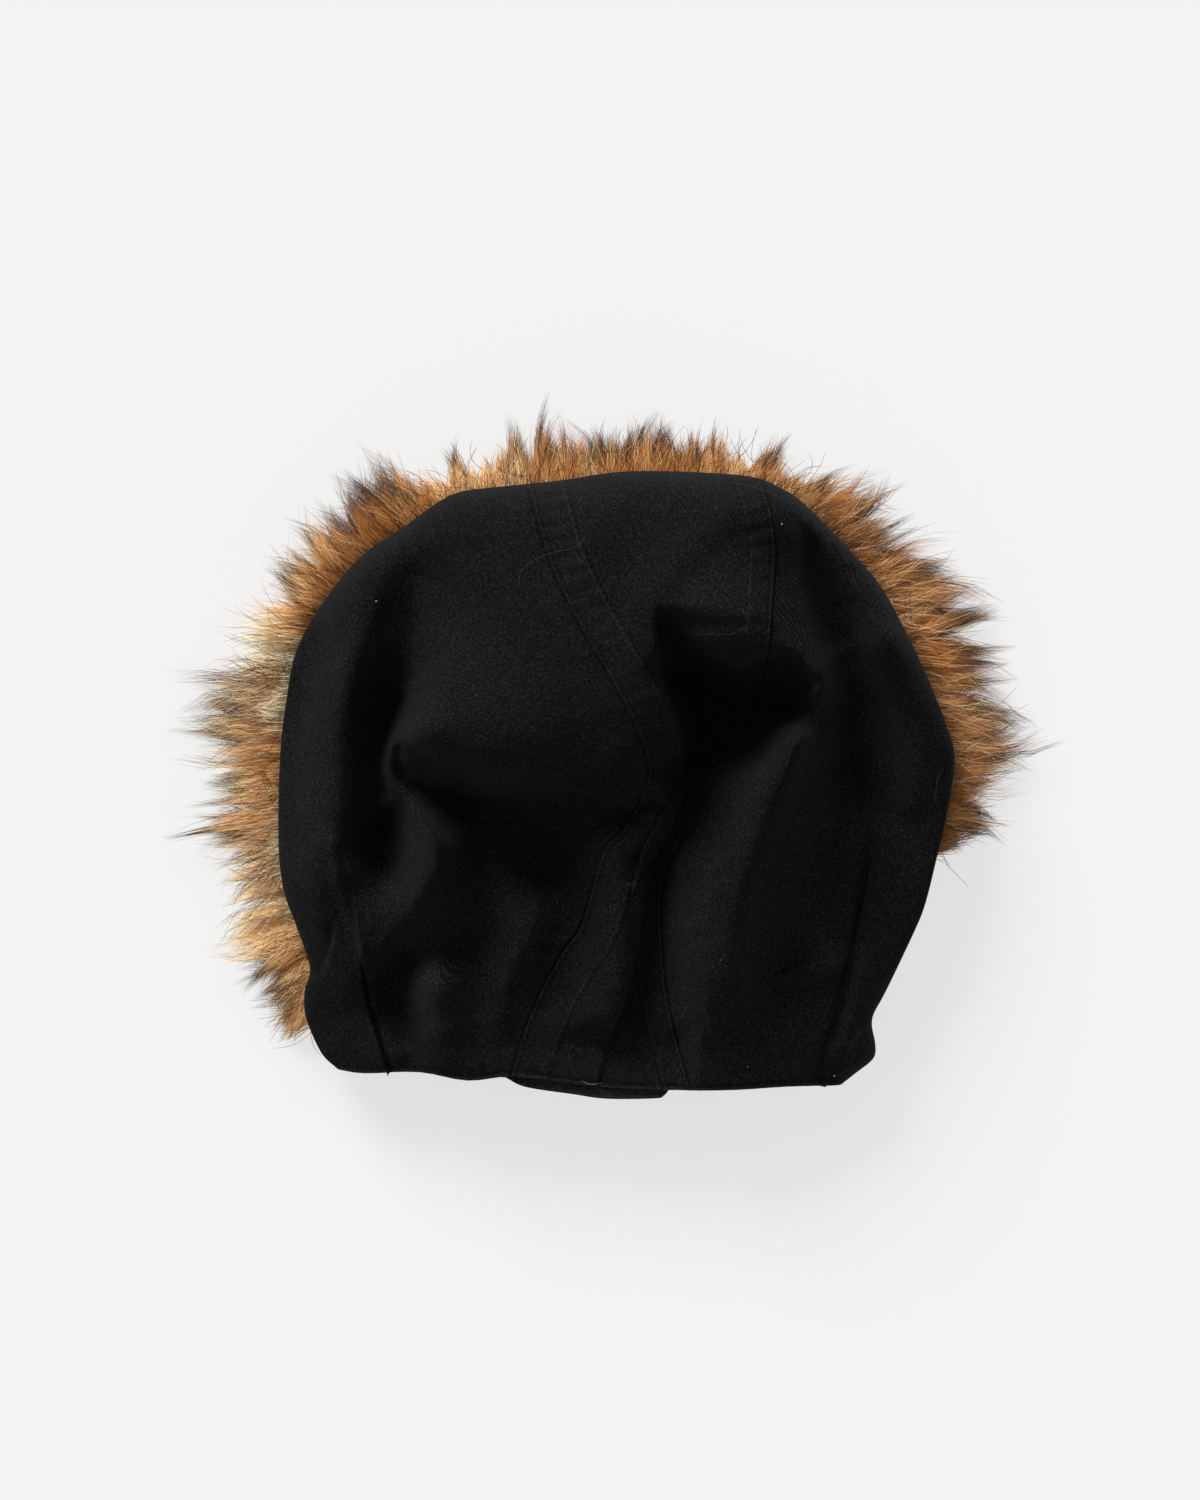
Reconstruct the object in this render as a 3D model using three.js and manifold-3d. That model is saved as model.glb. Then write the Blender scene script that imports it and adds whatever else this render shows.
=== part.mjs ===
// A detachable three-panel cloth hood with a faux fur ruff, lying on its face with its collapsed back up.
// Millimetres, +Z up. The face opening looks down, the crown is at +Y, the neck hem at -Y.
import * as THREE from "three";
import Module from "manifold-3d";

const wasm = await Module();
wasm.setup();
const { Manifold } = wasm;

// Driving sizes of the cloth.
const CLOTH_WIDTH = 336;
const CLOTH_LENGTH = 306;
const CLOTH_HEIGHT = 118;
const HALF_WIDTH = CLOTH_WIDTH / 2;
const HALF_LENGTH = CLOTH_LENGTH / 2;
const CLOTH_THICKNESS = 2;
const SEAM_GAP = 0.34;
const STRIP_RISE = 0.8;
const SEAM_RISE = 0.2;

// The rounded edge where the back turns under.
const ROLL_REACH = 42;
const RIM_LOW = 22;
const RIM_HIGH = 42;
const RIM_CLIMB_SHARE = 0.8;
const ROLL_SHARPNESS = 2.6;
const ROLL_ROUNDNESS = 2.2;
const FACE_INSET = 22;
const FACE_TURN = 12;
const FACE_DROP = 0.75;

// The fur strip that the cloth rests on.
const FUR_TOP = 8.6;
const FUR_START = 0.085;
const FUR_END = 0.865;
const FUR_FADE = 0.04;
const FUR_BODY_SHARE = 0.42;
const FUR_INNER_INSET = 30;
const FUR_EDGE_TOP = 7;
const FUR_STEPS = 40;
const FUR_END_STEPS = 2.5;
const FUR_END_INSET = 16;
const FUR_MIDDLE_INSET = 12;
const FUR_END_TOP = 3;
const FUR_END_EDGE_TOP = 2.5;
const PILE = 50;
const LOCK_WIDTH = 21;
const LOCK_DEPTH = 6;
const LOCK_STEP = 0.003;
const LOCK_ROOT = -6;
const LOCK_TIP = 1.6;
const LOCK_LOWEST = 0.4;
const LOW_LOCK_ROOT = 6;
const LOW_LOCK_TOP = 8;
const LOW_TIP_RISE = 6;
const HIGH_LOCK_ROOT = 7.8;
const HIGH_LOCK_SHARE = 0.5;
const HIGH_TIP_SHARE = 0.35;
const HIGH_TIP_RISE = 7;
const FUR_TOLERANCE = 0.1;

// The hem's flat middle, which the tab is sewn to.
const HEM_HEIGHT = 45;
const TAB_LEFT = -0.327 * HALF_WIDTH;
const TAB_RIGHT = 0.158 * HALF_WIDTH;
const TAB_TOP = -0.9216 * HALF_LENGTH;
const FLAT_TOP = -0.869 * HALF_LENGTH;
const TAB_THICKNESS = 2;
const TAB_GAP = 0.3;
const FLAT_FADE_X = 16;
const FLAT_FADE_Y = 18;

// Grid of the cloth: rows from hem to crown, columns across.
const ROWS = 31;
const SIDE_COLUMNS = 19;
const UNDER_COLUMNS = 5;
const CENTRE_STATIONS = [
  0, 0.07, 0.15, 0.175, 0.26, 0.35, 0.44, 0.53, 0.62, 0.7, 0.78, 0.86, 0.885, 0.94, 1,
];
const STRIP_LEFT_SHARE = 0.15;
const STRIP_RIGHT_SHARE = 0.885;
const FINE_STEPS = 90;

// Outline of the back from the left hem corner over the crown to the right hem corner.
// Columns: x and y as shares of the half width and the half length.
const OUTLINE = [
  [-0.83, -0.945],
  [-0.88, -0.89],
  [-0.925, -0.77],
  [-0.925, -0.68],
  [-0.91, -0.61],
  [-0.95, -0.47],
  [-0.985, -0.36],
  [-1.0, -0.2],
  [-0.995, 0.08],
  [-0.975, 0.27],
  [-0.95, 0.41],
  [-0.885, 0.55],
  [-0.76, 0.72],
  [-0.63, 0.82],
  [-0.49, 0.925],
  [-0.36, 0.95],
  [-0.18, 0.97],
  [0.01, 1.0],
  [0.2, 1.0],
  [0.39, 0.985],
  [0.48, 0.95],
  [0.57, 0.88],
  [0.76, 0.66],
  [0.85, 0.49],
  [0.92, 0.33],
  [0.975, 0.18],
  [1.0, 0.07],
  [0.98, -0.1],
  [0.95, -0.24],
  [0.915, -0.4],
  [0.88, -0.5],
  [0.8, -0.69],
  [0.76, -0.78],
  [0.77, -0.86],
  [0.765, -0.91],
  [0.71, -0.96],
  [0.67, -0.995],
];

// The neck hem seen from above, from the left corner to the right one. Columns as above.
const HEM = [
  [-0.83, -0.945],
  [-0.75, -0.955],
  [-0.58, -0.95],
  [-0.44, -0.975],
  [-0.3, -0.96],
  [-0.12, -0.985],
  [0.02, -1.0],
  [0.3, -1.005],
  [0.5, -0.995],
  [0.67, -0.995],
];

// The two seams between the panels, from the hem to the crown. Columns as above.
const LEFT_SEAM = [
  [-0.313, -0.96],
  [-0.256, -0.765],
  [-0.168, -0.57],
  [-0.108, -0.472],
  [-0.064, -0.309],
  [-0.034, -0.212],
  [0.02, -0.15],
  [0.088, 0.0],
  [0.07, 0.13],
  [-0.004, 0.293],
  [-0.123, 0.521],
  [-0.203, 0.716],
  [-0.265, 0.962],
];
const RIGHT_SEAM = [
  [0.218, -1.0],
  [0.153, -0.716],
  [0.132, -0.456],
  [0.144, -0.293],
  [0.218, -0.13],
  [0.322, 0.065],
  [0.411, 0.26],
  [0.44, 0.423],
  [0.449, 0.521],
  [0.461, 0.716],
  [0.449, 0.846],
  [0.4165, 0.983],
];

// The front edge of the chin flap tucked under the hem, from the chin to the side. Columns as above.
const FLAP_EDGE = [
  [-0.18, -0.99],
  [-0.185, -0.86],
  [-0.27, -0.76],
  [-0.46, -0.71],
  [-0.66, -0.66],
];
const FLAP_SHARE = 0.1;

// Ridges and valleys of the collapsed back, a row per fold.
// Columns of a point: x as a share of the half width, y of the half length and height of the cloth's height.
const FOLDS = [
  { fold: "top", points: [[-0.508, 0.797, 0.788], [-0.093, 0.832, 0.856], [0.384, 0.797, 0.864]] },
  {
    fold: "left_shoulder",
    points: [[-0.861, 0.456, 0.501], [-0.898, 0.159, 0.465], [-0.892, -0.159, 0.571]],
  },
  {
    fold: "left_ridge",
    points: [[-0.716, 0.684, 0.844], [-0.795, 0.319, 0.678], [-0.803, 0, 0.663], [-0.83, -0.182, 0.643]],
  },
  {
    fold: "left_valley",
    points: [
      [-0.59, 0.66, 0.643],
      [-0.6, 0.45, 0.62],
      [-0.615, 0.31, 0.535],
      [-0.68, 0.19, 0.44],
      [-0.725, 0.08, 0.46],
      [-0.715, -0.03, 0.5],
      [-0.665, -0.15, 0.32],
      [-0.675, -0.28, 0.32],
    ],
  },
  { fold: "left_low", points: [[-0.782, -0.296, 0.598], [-0.824, -0.478, 0.513], [-0.799, -0.638, 0.451]] },
  { fold: "bulge_back", points: [[-0.405, 0.661, 0.811], [-0.218, 0.524, 0.89], [-0.01, 0.365, 0.94]] },
  { fold: "bulge_crest", points: [[-0.529, 0.296, 0.884], [-0.301, 0.273, 0.94], [-0.01, 0.159, 0.887]] },
  {
    fold: "bulge_foot",
    points: [
      [-0.55, 0.091, 0.88],
      [-0.363, 0.023, 0.881],
      [-0.156, 0.034, 0.834],
      [0.01, -0.011, 0.766],
      [0.114, 0.046, 0.741],
    ],
  },
  { fold: "nose", points: [[-0.595, 0.178, 0.9], [-0.625, 0.1, 0.775], [-0.605, 0, 0.61]] },
  {
    fold: "hook",
    points: [
      [-0.587, -0.068, 0.66],
      [-0.527, -0.182, 0.801],
      [-0.56, -0.319, 0.733],
      [-0.654, -0.444, 0.568],
      [-0.685, -0.57, 0.501],
    ],
  },
  {
    fold: "crease",
    points: [
      [-0.483, -0.046, 0.469],
      [-0.384, -0.073, 0.523],
      [-0.176, -0.064, 0.638],
      [-0.01, -0.114, 0.622],
      [0.093, -0.068, 0.619],
    ],
  },
  { fold: "basin", points: [[-0.425, -0.251, 0.408], [-0.218, -0.273, 0.351], [-0.073, -0.251, 0.592]] },
  {
    fold: "low_bulge",
    points: [[-0.405, -0.456, 0.385], [-0.322, -0.661, 0.455], [-0.239, -0.433, 0.518]],
  },
  { fold: "low_valley", points: [[-0.633, -0.57, 0.32], [-0.622, -0.752, 0.32], [-0.602, -0.911, 0.305]] },
  {
    fold: "low_valley_2",
    points: [[-0.456, -0.524, 0.351], [-0.425, -0.706, 0.43], [-0.363, -0.911, 0.405]],
  },
  { fold: "low_ridge_2", points: [[-0.539, -0.661, 0.521], [-0.498, -0.889, 0.417]] },
  {
    fold: "strip_low",
    points: [[-0.135, -0.387, 0.439], [-0.197, -0.706, 0.372], [-0.259, -0.911, 0.424]],
  },
  {
    fold: "ridge_of_groove",
    points: [
      [0.135, -0.034, 0.767],
      [0.052, -0.228, 0.634],
      [0.031, -0.433, 0.628],
      [0.021, -0.615, 0.59],
      [-0.041, -0.911, 0.493],
    ],
  },
  {
    fold: "nose_edge",
    points: [[0.098, 0.558, 0.903], [0.12, 0.387, 0.94], [0.166, 0.239, 0.767], [0.181, 0.114, 0.772]],
  },
  {
    fold: "hollow",
    points: [[0.176, 0.33, 0.385], [0.301, 0.275, 0.44], [0.425, 0.255, 0.447], [0.519, 0.25, 0.47]],
  },
  {
    fold: "hollow_lip",
    points: [
      [0.135, 0.513, 0.94],
      [0.228, 0.428, 0.94],
      [0.342, 0.383, 0.879],
      [0.467, 0.415, 0.899],
      [0.55, 0.353, 0.844],
    ],
  },
  { fold: "hollow_slope", points: [[0.239, 0.137, 0.408], [0.405, 0.12, 0.43]] },
  {
    fold: "low_back",
    points: [[0.301, -0.068, 0.538], [0.249, -0.342, 0.634], [0.239, -0.615, 0.611], [0.28, -0.866, 0.508]],
  },
  {
    fold: "low_back_side",
    points: [[0.197, -0.251, 0.563], [0.176, -0.57, 0.475], [0.176, -0.866, 0.474]],
  },
  {
    fold: "groove",
    points: [
      [0.197, 0.046, 0.419],
      [0.139, -0.091, 0.627],
      [0.104, -0.273, 0.514],
      [0.11, -0.478, 0.44],
      [0.104, -0.638, 0.436],
      [0.041, -0.911, 0.38],
    ],
  },
  {
    fold: "right_ridge",
    points: [[0.494, 0.854, 0.898], [0.544, 0.684, 0.736], [0.566, 0.501, 0.75], [0.596, 0.296, 0.925]],
  },
  {
    fold: "right_ridge_low",
    points: [
      [0.519, 0.137, 0.94],
      [0.436, -0.068, 0.805],
      [0.394, -0.273, 0.787],
      [0.359, -0.478, 0.688],
      [0.359, -0.638, 0.643],
    ],
  },
  {
    fold: "right_valley",
    points: [[0.6, 0.785, 0.85], [0.662, 0.56, 0.615], [0.692, 0.27, 0.475], [0.668, 0.04, 0.4]],
  },
  {
    fold: "right_valley_low",
    points: [[0.6, -0.17, 0.475], [0.56, -0.31, 0.48], [0.53, -0.478, 0.46], [0.49, -0.64, 0.398]],
  },
  {
    fold: "right_shoulder",
    points: [[0.778, 0.456, 0.835], [0.872, 0.137, 0.497], [0.82, -0.205, 0.402], [0.757, -0.524, 0.368]],
  },
  { fold: "right_low", points: [[0.65, -0.6, 0.465], [0.56, -0.82, 0.32], [0.674, -0.797, 0.422]] },
  {
    fold: "hem",
    points: [
      [-0.861, -0.775, 0.305],
      [-0.508, -0.923, 0.39],
      [-0.135, -0.946, 0.407],
      [0.301, -0.946, 0.458],
    ],
  },
];
const FOLD_SPACING = 13;
const FOLD_SOFTNESS = 6;
const FOLD_EASE = 1.5;

// Locks of the fur, a row per lock. Columns: share of the outline where it grows, how far its tip stands
// out, and how far it leans towards the outline's right end, as shares of the pile's length.
const LOCKS = [
  [0.101, 0.86, -0.06],
  [0.123, 0.66, -0.02],
  [0.141, 0.56, -0.22],
  [0.161, 0.88, -0.22],
  [0.179, 0.84, -0.1],
  [0.197, 0.72, -0.18],
  [0.209, 1, -0.12],
  [0.226, 1.02, -0.2],
  [0.242, 0.74, -0.16],
  [0.266, 0.82, -0.26],
  [0.285, 0.6, -0.02],
  [0.310, 0.7, 0.06],
  [0.322, 0.62, 0.04],
  [0.339, 0.66, -0.04],
  [0.358, 0.84, -0.02],
  [0.373, 0.64, -0.02],
  [0.398, 0.48, 0.02],
  [0.417, 0.38, -0.06],
  [0.433, 0.66, -0.02],
  [0.449, 0.68, 0.1],
  [0.473, 0.48, 0.12],
  [0.491, 0.38, 0.06],
  [0.509, 0.54, 0.06],
  [0.528, 0.38, 0.02],
  [0.544, 0.48, 0.06],
  [0.560, 0.32, 0.12],
  [0.577, 0.46, 0.16],
  [0.596, 0.28, 0.08],
  [0.620, 0.72, 0.18],
  [0.636, 0.62, 0.3],
  [0.659, 0.52, 0.26],
  [0.675, 0.72, 0.38],
  [0.695, 0.64, 0.26],
  [0.715, 0.64, 0.34],
  [0.727, 0.88, 0.44],
  [0.751, 0.6, 0.36],
  [0.770, 0.86, 0.26],
  [0.788, 0.76, 0.04],
  [0.806, 0.46, 0.02],
  [0.823, 0.6, -0.04],
  [0.838, 0.3, 0],
];

// The tab below the hem seen from above, from its left top corner round.
// Columns: x and y as shares of the half width and the half length.
const TAB = [
  [TAB_LEFT / HALF_WIDTH, TAB_TOP / HALF_LENGTH],
  [TAB_LEFT / HALF_WIDTH, -0.967],
  [-0.268, -0.997],
  [-0.131, -1.02],
  [-0.03, -1.035],
  [0.113, -1.034],
  [0.14, -1.025],
  [0.155, -1.003],
  [TAB_RIGHT / HALF_WIDTH, -0.974],
  [TAB_RIGHT / HALF_WIDTH, TAB_TOP / HALF_LENGTH],
];

const mix = (a, b, t) => a + (b - a) * t;
const clamp = (t) => Math.min(1, Math.max(0, t));
const smooth = (t) => clamp(t) ** 2 * (3 - 2 * clamp(t));

// A smooth line through points of any dimension, so many steps from one to the next.
function splineThrough(points, steps) {
  const before = points[0].map((v, k) => 2 * v - points[1][k]);
  const last = points.length - 1;
  const after = points[last].map((v, k) => 2 * v - points[last - 1][k]);
  const p = [before, ...points, after];
  const line = [];
  for (let i = 1; i < p.length - 2; i++)
    for (let j = 0; j < steps; j++) {
      const t = j / steps;
      line.push(
        p[i].map((b, k) => {
          const a = p[i - 1][k];
          const c = p[i + 1][k];
          const d = p[i + 2][k];
          const square = (2 * a - 5 * b + 4 * c - d) * t ** 2;
          const cube = (3 * b - a - 3 * c + d) * t ** 3;
          return 0.5 * (2 * b + (c - a) * t + square + cube);
        }),
      );
    }
  line.push([...points[last]]);
  return line;
}

// Length along a line at each of its points, over so many of its coordinates.
function lengthsAlong(line, dimensions) {
  const along = [0];
  for (let i = 1; i < line.length; i++) {
    let sum = 0;
    for (let k = 0; k < dimensions; k++) sum += (line[i][k] - line[i - 1][k]) ** 2;
    along.push(along[i - 1] + Math.sqrt(sum));
  }
  return along;
}

// The point of a line at a share of its length.
function pointAt(line, along, share) {
  const wanted = clamp(share) * along[along.length - 1];
  let i = 1;
  while (i < line.length - 1 && along[i] < wanted) i++;
  const span = along[i] - along[i - 1];
  const t = span > 0 ? (wanted - along[i - 1]) / span : 0;
  return line[i].map((v, k) => mix(line[i - 1][k], v, t));
}

// So many equal steps along a line.
function evenPoints(line, dimensions, count) {
  const along = lengthsAlong(line, dimensions);
  return Array.from({ length: count + 1 }, (_, i) => pointAt(line, along, i / count));
}

const inMillimetres = (rows) => rows.map(([x, y]) => [x * HALF_WIDTH, y * HALF_LENGTH]);

const outline = splineThrough(inMillimetres(OUTLINE), 4);
const outlineAlong = lengthsAlong(outline, 2);
const hem = splineThrough(inMillimetres(HEM), 4);

function hemY(x) {
  const i = hem.findIndex((p) => p[0] > x);
  const t = (x - hem[i - 1][0]) / (hem[i][0] - hem[i - 1][0]);
  return mix(hem[i - 1][1], hem[i][1], t);
}

function distanceToOutline(x, y) {
  let best = Infinity;
  for (let i = 1; i < outline.length; i++) {
    const [ax, ay] = outline[i - 1];
    const dx = outline[i][0] - ax;
    const dy = outline[i][1] - ay;
    const t = clamp(((x - ax) * dx + (y - ay) * dy) / (dx * dx + dy * dy));
    best = Math.min(best, (x - ax - t * dx) ** 2 + (y - ay - t * dy) ** 2);
  }
  return Math.sqrt(best);
}

// The share along the outline that is nearest to a point.
function outlineShareNear(x, y) {
  let best = Infinity;
  let share = 0;
  outline.forEach(([ox, oy], i) => {
    const d = (x - ox) ** 2 + (y - oy) ** 2;
    if (d < best) {
      best = d;
      share = outlineAlong[i] / outlineAlong[outline.length - 1];
    }
  });
  return share;
}

// Solves a set of linear equations in place.
function solve(rows, right) {
  const n = right.length;
  for (let c = 0; c < n; c++) {
    let pivot = c;
    for (let r = c + 1; r < n; r++) if (Math.abs(rows[r][c]) > Math.abs(rows[pivot][c])) pivot = r;
    [rows[c], rows[pivot]] = [rows[pivot], rows[c]];
    [right[c], right[pivot]] = [right[pivot], right[c]];
    for (let r = c + 1; r < n; r++) {
      const f = rows[r][c] / rows[c][c];
      if (f === 0) continue;
      for (let k = c; k < n; k++) rows[r][k] -= f * rows[c][k];
      right[r] -= f * right[c];
    }
  }
  for (let c = n - 1; c >= 0; c--) {
    for (let k = c + 1; k < n; k++) right[c] -= rows[c][k] * right[k];
    right[c] /= rows[c][c];
  }
  return right;
}

// One smooth surface through all the folds.
const knots = FOLDS.flatMap(({ points }) => {
  const line = splineThrough(
    points.map(([x, y, h]) => [x * HALF_WIDTH, y * HALF_LENGTH, h * CLOTH_HEIGHT]),
    12,
  );
  const length = lengthsAlong(line, 2)[line.length - 1];
  return evenPoints(line, 2, Math.max(1, Math.round(length / FOLD_SPACING)));
});
const reachOf = (ax, ay, bx, by) => Math.sqrt((ax - bx) ** 2 + (ay - by) ** 2 + FOLD_SOFTNESS ** 2);
const system = knots.map(([x, y], i) => [
  ...knots.map(([kx, ky], j) => reachOf(x, y, kx, ky) - (i === j ? FOLD_EASE : 0)),
  1,
  x / 100,
  y / 100,
]);
system.push([...knots.map(() => 1), 0, 0, 0]);
system.push([...knots.map(([x]) => x / 100), 0, 0, 0]);
system.push([...knots.map(([, y]) => y / 100), 0, 0, 0]);
const weights = solve(system, [...knots.map((k) => k[2]), 0, 0, 0]);

function foldHeight(x, y) {
  const n = knots.length;
  let z = weights[n] + (weights[n + 1] * x) / 100 + (weights[n + 2] * y) / 100;
  for (let i = 0; i < n; i++) z += weights[i] * reachOf(x, y, knots[i][0], knots[i][1]);
  return z;
}

const rimHeight = (y) => mix(RIM_LOW, RIM_HIGH, smooth((y / HALF_LENGTH + 1) / RIM_CLIMB_SHARE));

// The height of the cloth's outer side over a point of the plan.
function heightAt(x, y) {
  const inX = smooth(1 - Math.max(TAB_LEFT - x, x - TAB_RIGHT, 0) / FLAT_FADE_X);
  const inY = smooth(1 - Math.max(y - FLAT_TOP, 0) / FLAT_FADE_Y);
  const z = mix(foldHeight(x, y), HEM_HEIGHT, inX * inY);
  const rim = rimHeight(y);
  const e = clamp(distanceToOutline(x, y) / ROLL_REACH);
  return rim + (z - rim) * (1 - (1 - e) ** ROLL_SHARPNESS) ** (1 / ROLL_ROUNDNESS);
}

// The way into the hood from a point of its outline.
function inwardAt([x, y]) {
  const tx = Math.min(0.35, Math.max(-0.35, x / HALF_WIDTH)) * HALF_WIDTH;
  const ty = Math.min(0.45, Math.max(-0.6, y / HALF_LENGTH)) * HALF_LENGTH;
  const length = Math.hypot(tx - x, ty - y);
  return [(tx - x) / length, (ty - y) / length];
}

const insetPoint = (share, inset) => {
  const o = pointAt(outline, outlineAlong, share);
  const [dx, dy] = inwardAt(o);
  return [o[0] + dx * inset, o[1] + dy * inset];
};

// How far the face edge lies on the fur, from 0 past the fur's ends to 1.
const overFur = (share) =>
  smooth((share - FUR_START) / FUR_FADE + 1) * smooth((FUR_END - share) / FUR_FADE + 1);

const leftFlap = splineThrough([...inMillimetres(FLAP_EDGE), insetPoint(FLAP_SHARE, FACE_INSET)], 8);
const rightFlap = splineThrough(
  [...inMillimetres(FLAP_EDGE).map(([x, y]) => [-x, y]), insetPoint(1 - FLAP_SHARE, FACE_INSET)],
  8,
);

// The face edge under the outline at a share along it.
function facePoint(share) {
  const z = overFur(share) * (FUR_TOP + SEAM_GAP);
  const end = Math.min(share, 1 - share) / FLAP_SHARE;
  if (end >= 1) return [...insetPoint(share, FACE_INSET), z];
  const flap = share < 0.5 ? leftFlap : rightFlap;
  return [...pointAt(flap, lengthsAlong(flap, 2), end), z];
}

// The way of the cloth from its outline under to the face edge.
function underLine(share, count) {
  const [ox, oy] = pointAt(outline, outlineAlong, share);
  const oz = rimHeight(oy);
  const [fx, fy, fz] = facePoint(share);
  const far = Math.hypot(ox - fx, oy - fy);
  const pull = Math.max(far - FACE_TURN, 0.3 * far) / far;
  const a = [ox, oy, oz];
  const b = [ox, oy, oz - (oz - fz) * FACE_DROP];
  const c = [mix(fx, ox, pull), mix(fy, oy, pull), fz];
  const d = [fx, fy, fz];
  const line = [];
  for (let i = 0; i <= 24; i++) {
    const t = i / 24;
    const s = 1 - t;
    line.push(a.map((v, k) => s ** 3 * v + 3 * s * s * t * b[k] + 3 * s * t * t * c[k] + t ** 3 * d[k]));
  }
  return evenPoints(line, 3, count);
}

// A seam on the back in equal steps of the cloth.
function seamPoints(rows) {
  const plan = splineThrough(inMillimetres(rows), 8);
  plan[0][1] = hemY(plan[0][0]);
  plan[plan.length - 1] = pointAt(outline, outlineAlong, outlineShareNear(...plan[plan.length - 1]));
  const raised = plan.map(([x, y]) => [x, y, heightAt(x, y)]);
  return evenPoints(raised, 3, ROWS);
}

const leftSeam = seamPoints(LEFT_SEAM);
const rightSeam = seamPoints(RIGHT_SEAM);
const leftShare = outlineShareNear(...leftSeam[ROWS]);
const rightShare = outlineShareNear(...rightSeam[ROWS]);

// The outer side of all the cloth: points, and triangles that know their panel.
const points = [];
const triangles = [];
const addPoint = (p) => points.push(new THREE.Vector3(...p)) - 1;

// The part of the hem between two x positions.
function hemPart(fromX, toX) {
  const low = Math.min(fromX, toX);
  const high = Math.max(fromX, toX);
  const inner = hem.filter(([x]) => x > low + 0.5 && x < high - 0.5);
  const [lastX, lastY] = hem[hem.length - 1];
  const part = [[low, hemY(low)], ...inner, [high, high >= lastX ? lastY : hemY(high)]];
  return fromX < toX ? part : part.reverse();
}

// A row of one side panel from its seam over the back to the outline.
function sideRow(seam, row, share, corner) {
  const start = seam[row];
  const end = pointAt(outline, outlineAlong, share);
  const part = hemPart(seam[0][0], corner[0]);
  const partAlong = lengthsAlong(part, 2);
  const fade = (1 - row / ROWS) ** 3;
  const line = [];
  for (let i = 0; i <= FINE_STEPS; i++) {
    const s = Math.sin((i / FINE_STEPS) * (Math.PI / 2));
    const h = pointAt(part, partAlong, s);
    const x = mix(start[0], end[0], s) + fade * (h[0] - mix(seam[0][0], corner[0], s));
    const y = mix(start[1], end[1], s) + fade * (h[1] - mix(seam[0][1], corner[1], s));
    line.push([x, y, heightAt(x, y)]);
  }
  return evenPoints(line, 3, SIDE_COLUMNS);
}

const leftCorner = outline[0];
const rightCorner = outline[outline.length - 1];
const centreHem = hemPart(leftSeam[0][0], rightSeam[0][0]);
const centreHemAlong = lengthsAlong(centreHem, 2);

// A row of the centre panel from the left seam to the right one.
function centreRow(row) {
  const a = leftSeam[row];
  const b = rightSeam[row];
  const fade = (1 - row / ROWS) ** 3;
  const rise = smooth((row / ROWS - 0.9) / 0.1);
  return CENTRE_STATIONS.slice(1, -1).map((s) => {
    const h = pointAt(centreHem, centreHemAlong, s);
    const o = pointAt(outline, outlineAlong, mix(leftShare, rightShare, s));
    const x = mix(a[0], b[0], s) + fade * (h[0] - mix(leftSeam[0][0], rightSeam[0][0], s));
    const y = mix(a[1], b[1], s) + fade * (h[1] - mix(leftSeam[0][1], rightSeam[0][1], s));
    const crownX = mix(leftSeam[ROWS][0], rightSeam[ROWS][0], s);
    const crownY = mix(leftSeam[ROWS][1], rightSeam[ROWS][1], s);
    const px = x + rise * (o[0] - crownX);
    const py = y + rise * (o[1] - crownY);
    return [px, py, heightAt(px, py)];
  });
}

// Rows of point numbers: face edge, outline, back, outline, face edge.
const rowsOfPoints = [];
for (let row = 0; row <= ROWS; row++) {
  const ls = (leftShare * row) / ROWS;
  const rs = 1 - ((1 - rightShare) * row) / ROWS;
  const left = row < ROWS ? sideRow(leftSeam, row, ls, leftCorner).map(addPoint) : [];
  const right = row < ROWS ? sideRow(rightSeam, row, rs, rightCorner).map(addPoint) : [];
  if (row === ROWS) {
    const l = addPoint(leftSeam[ROWS]);
    const r = addPoint(rightSeam[ROWS]);
    for (let i = 0; i <= SIDE_COLUMNS; i++) {
      left.push(l);
      right.push(r);
    }
  }
  const leftUnder = underLine(ls, UNDER_COLUMNS).slice(1).map(addPoint);
  const rightUnder = underLine(rs, UNDER_COLUMNS).slice(1).map(addPoint);
  rowsOfPoints.push([
    ...leftUnder.reverse(),
    ...left.reverse(),
    ...centreRow(row).map(addPoint),
    ...right,
    ...rightUnder,
  ]);
}

const LEFT_SEAM_COLUMN = UNDER_COLUMNS + SIDE_COLUMNS;
const RIGHT_SEAM_COLUMN = LEFT_SEAM_COLUMN + CENTRE_STATIONS.length - 1;
const LAST_COLUMN = RIGHT_SEAM_COLUMN + UNDER_COLUMNS + SIDE_COLUMNS;

function addTriangle(panel, a, b, c) {
  if (a !== b && b !== c && c !== a) triangles.push({ panel, corners: [a, b, c] });
}

// A quad split along its shorter diagonal.
function addQuad(panel, a, b, c, d) {
  if (points[a].distanceTo(points[c]) <= points[b].distanceTo(points[d])) {
    addTriangle(panel, a, b, c);
    addTriangle(panel, a, c, d);
  } else {
    addTriangle(panel, a, b, d);
    addTriangle(panel, b, c, d);
  }
}

const panelOf = (column) =>
  column < LEFT_SEAM_COLUMN ? "left_panel" : column < RIGHT_SEAM_COLUMN ? "centre_panel" : "right_panel";
for (let row = 0; row < ROWS; row++)
  for (let column = 0; column < LAST_COLUMN; column++) {
    const low = rowsOfPoints[row];
    const high = rowsOfPoints[row + 1];
    addQuad(panelOf(column), low[column], low[column + 1], high[column + 1], high[column]);
  }

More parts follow.
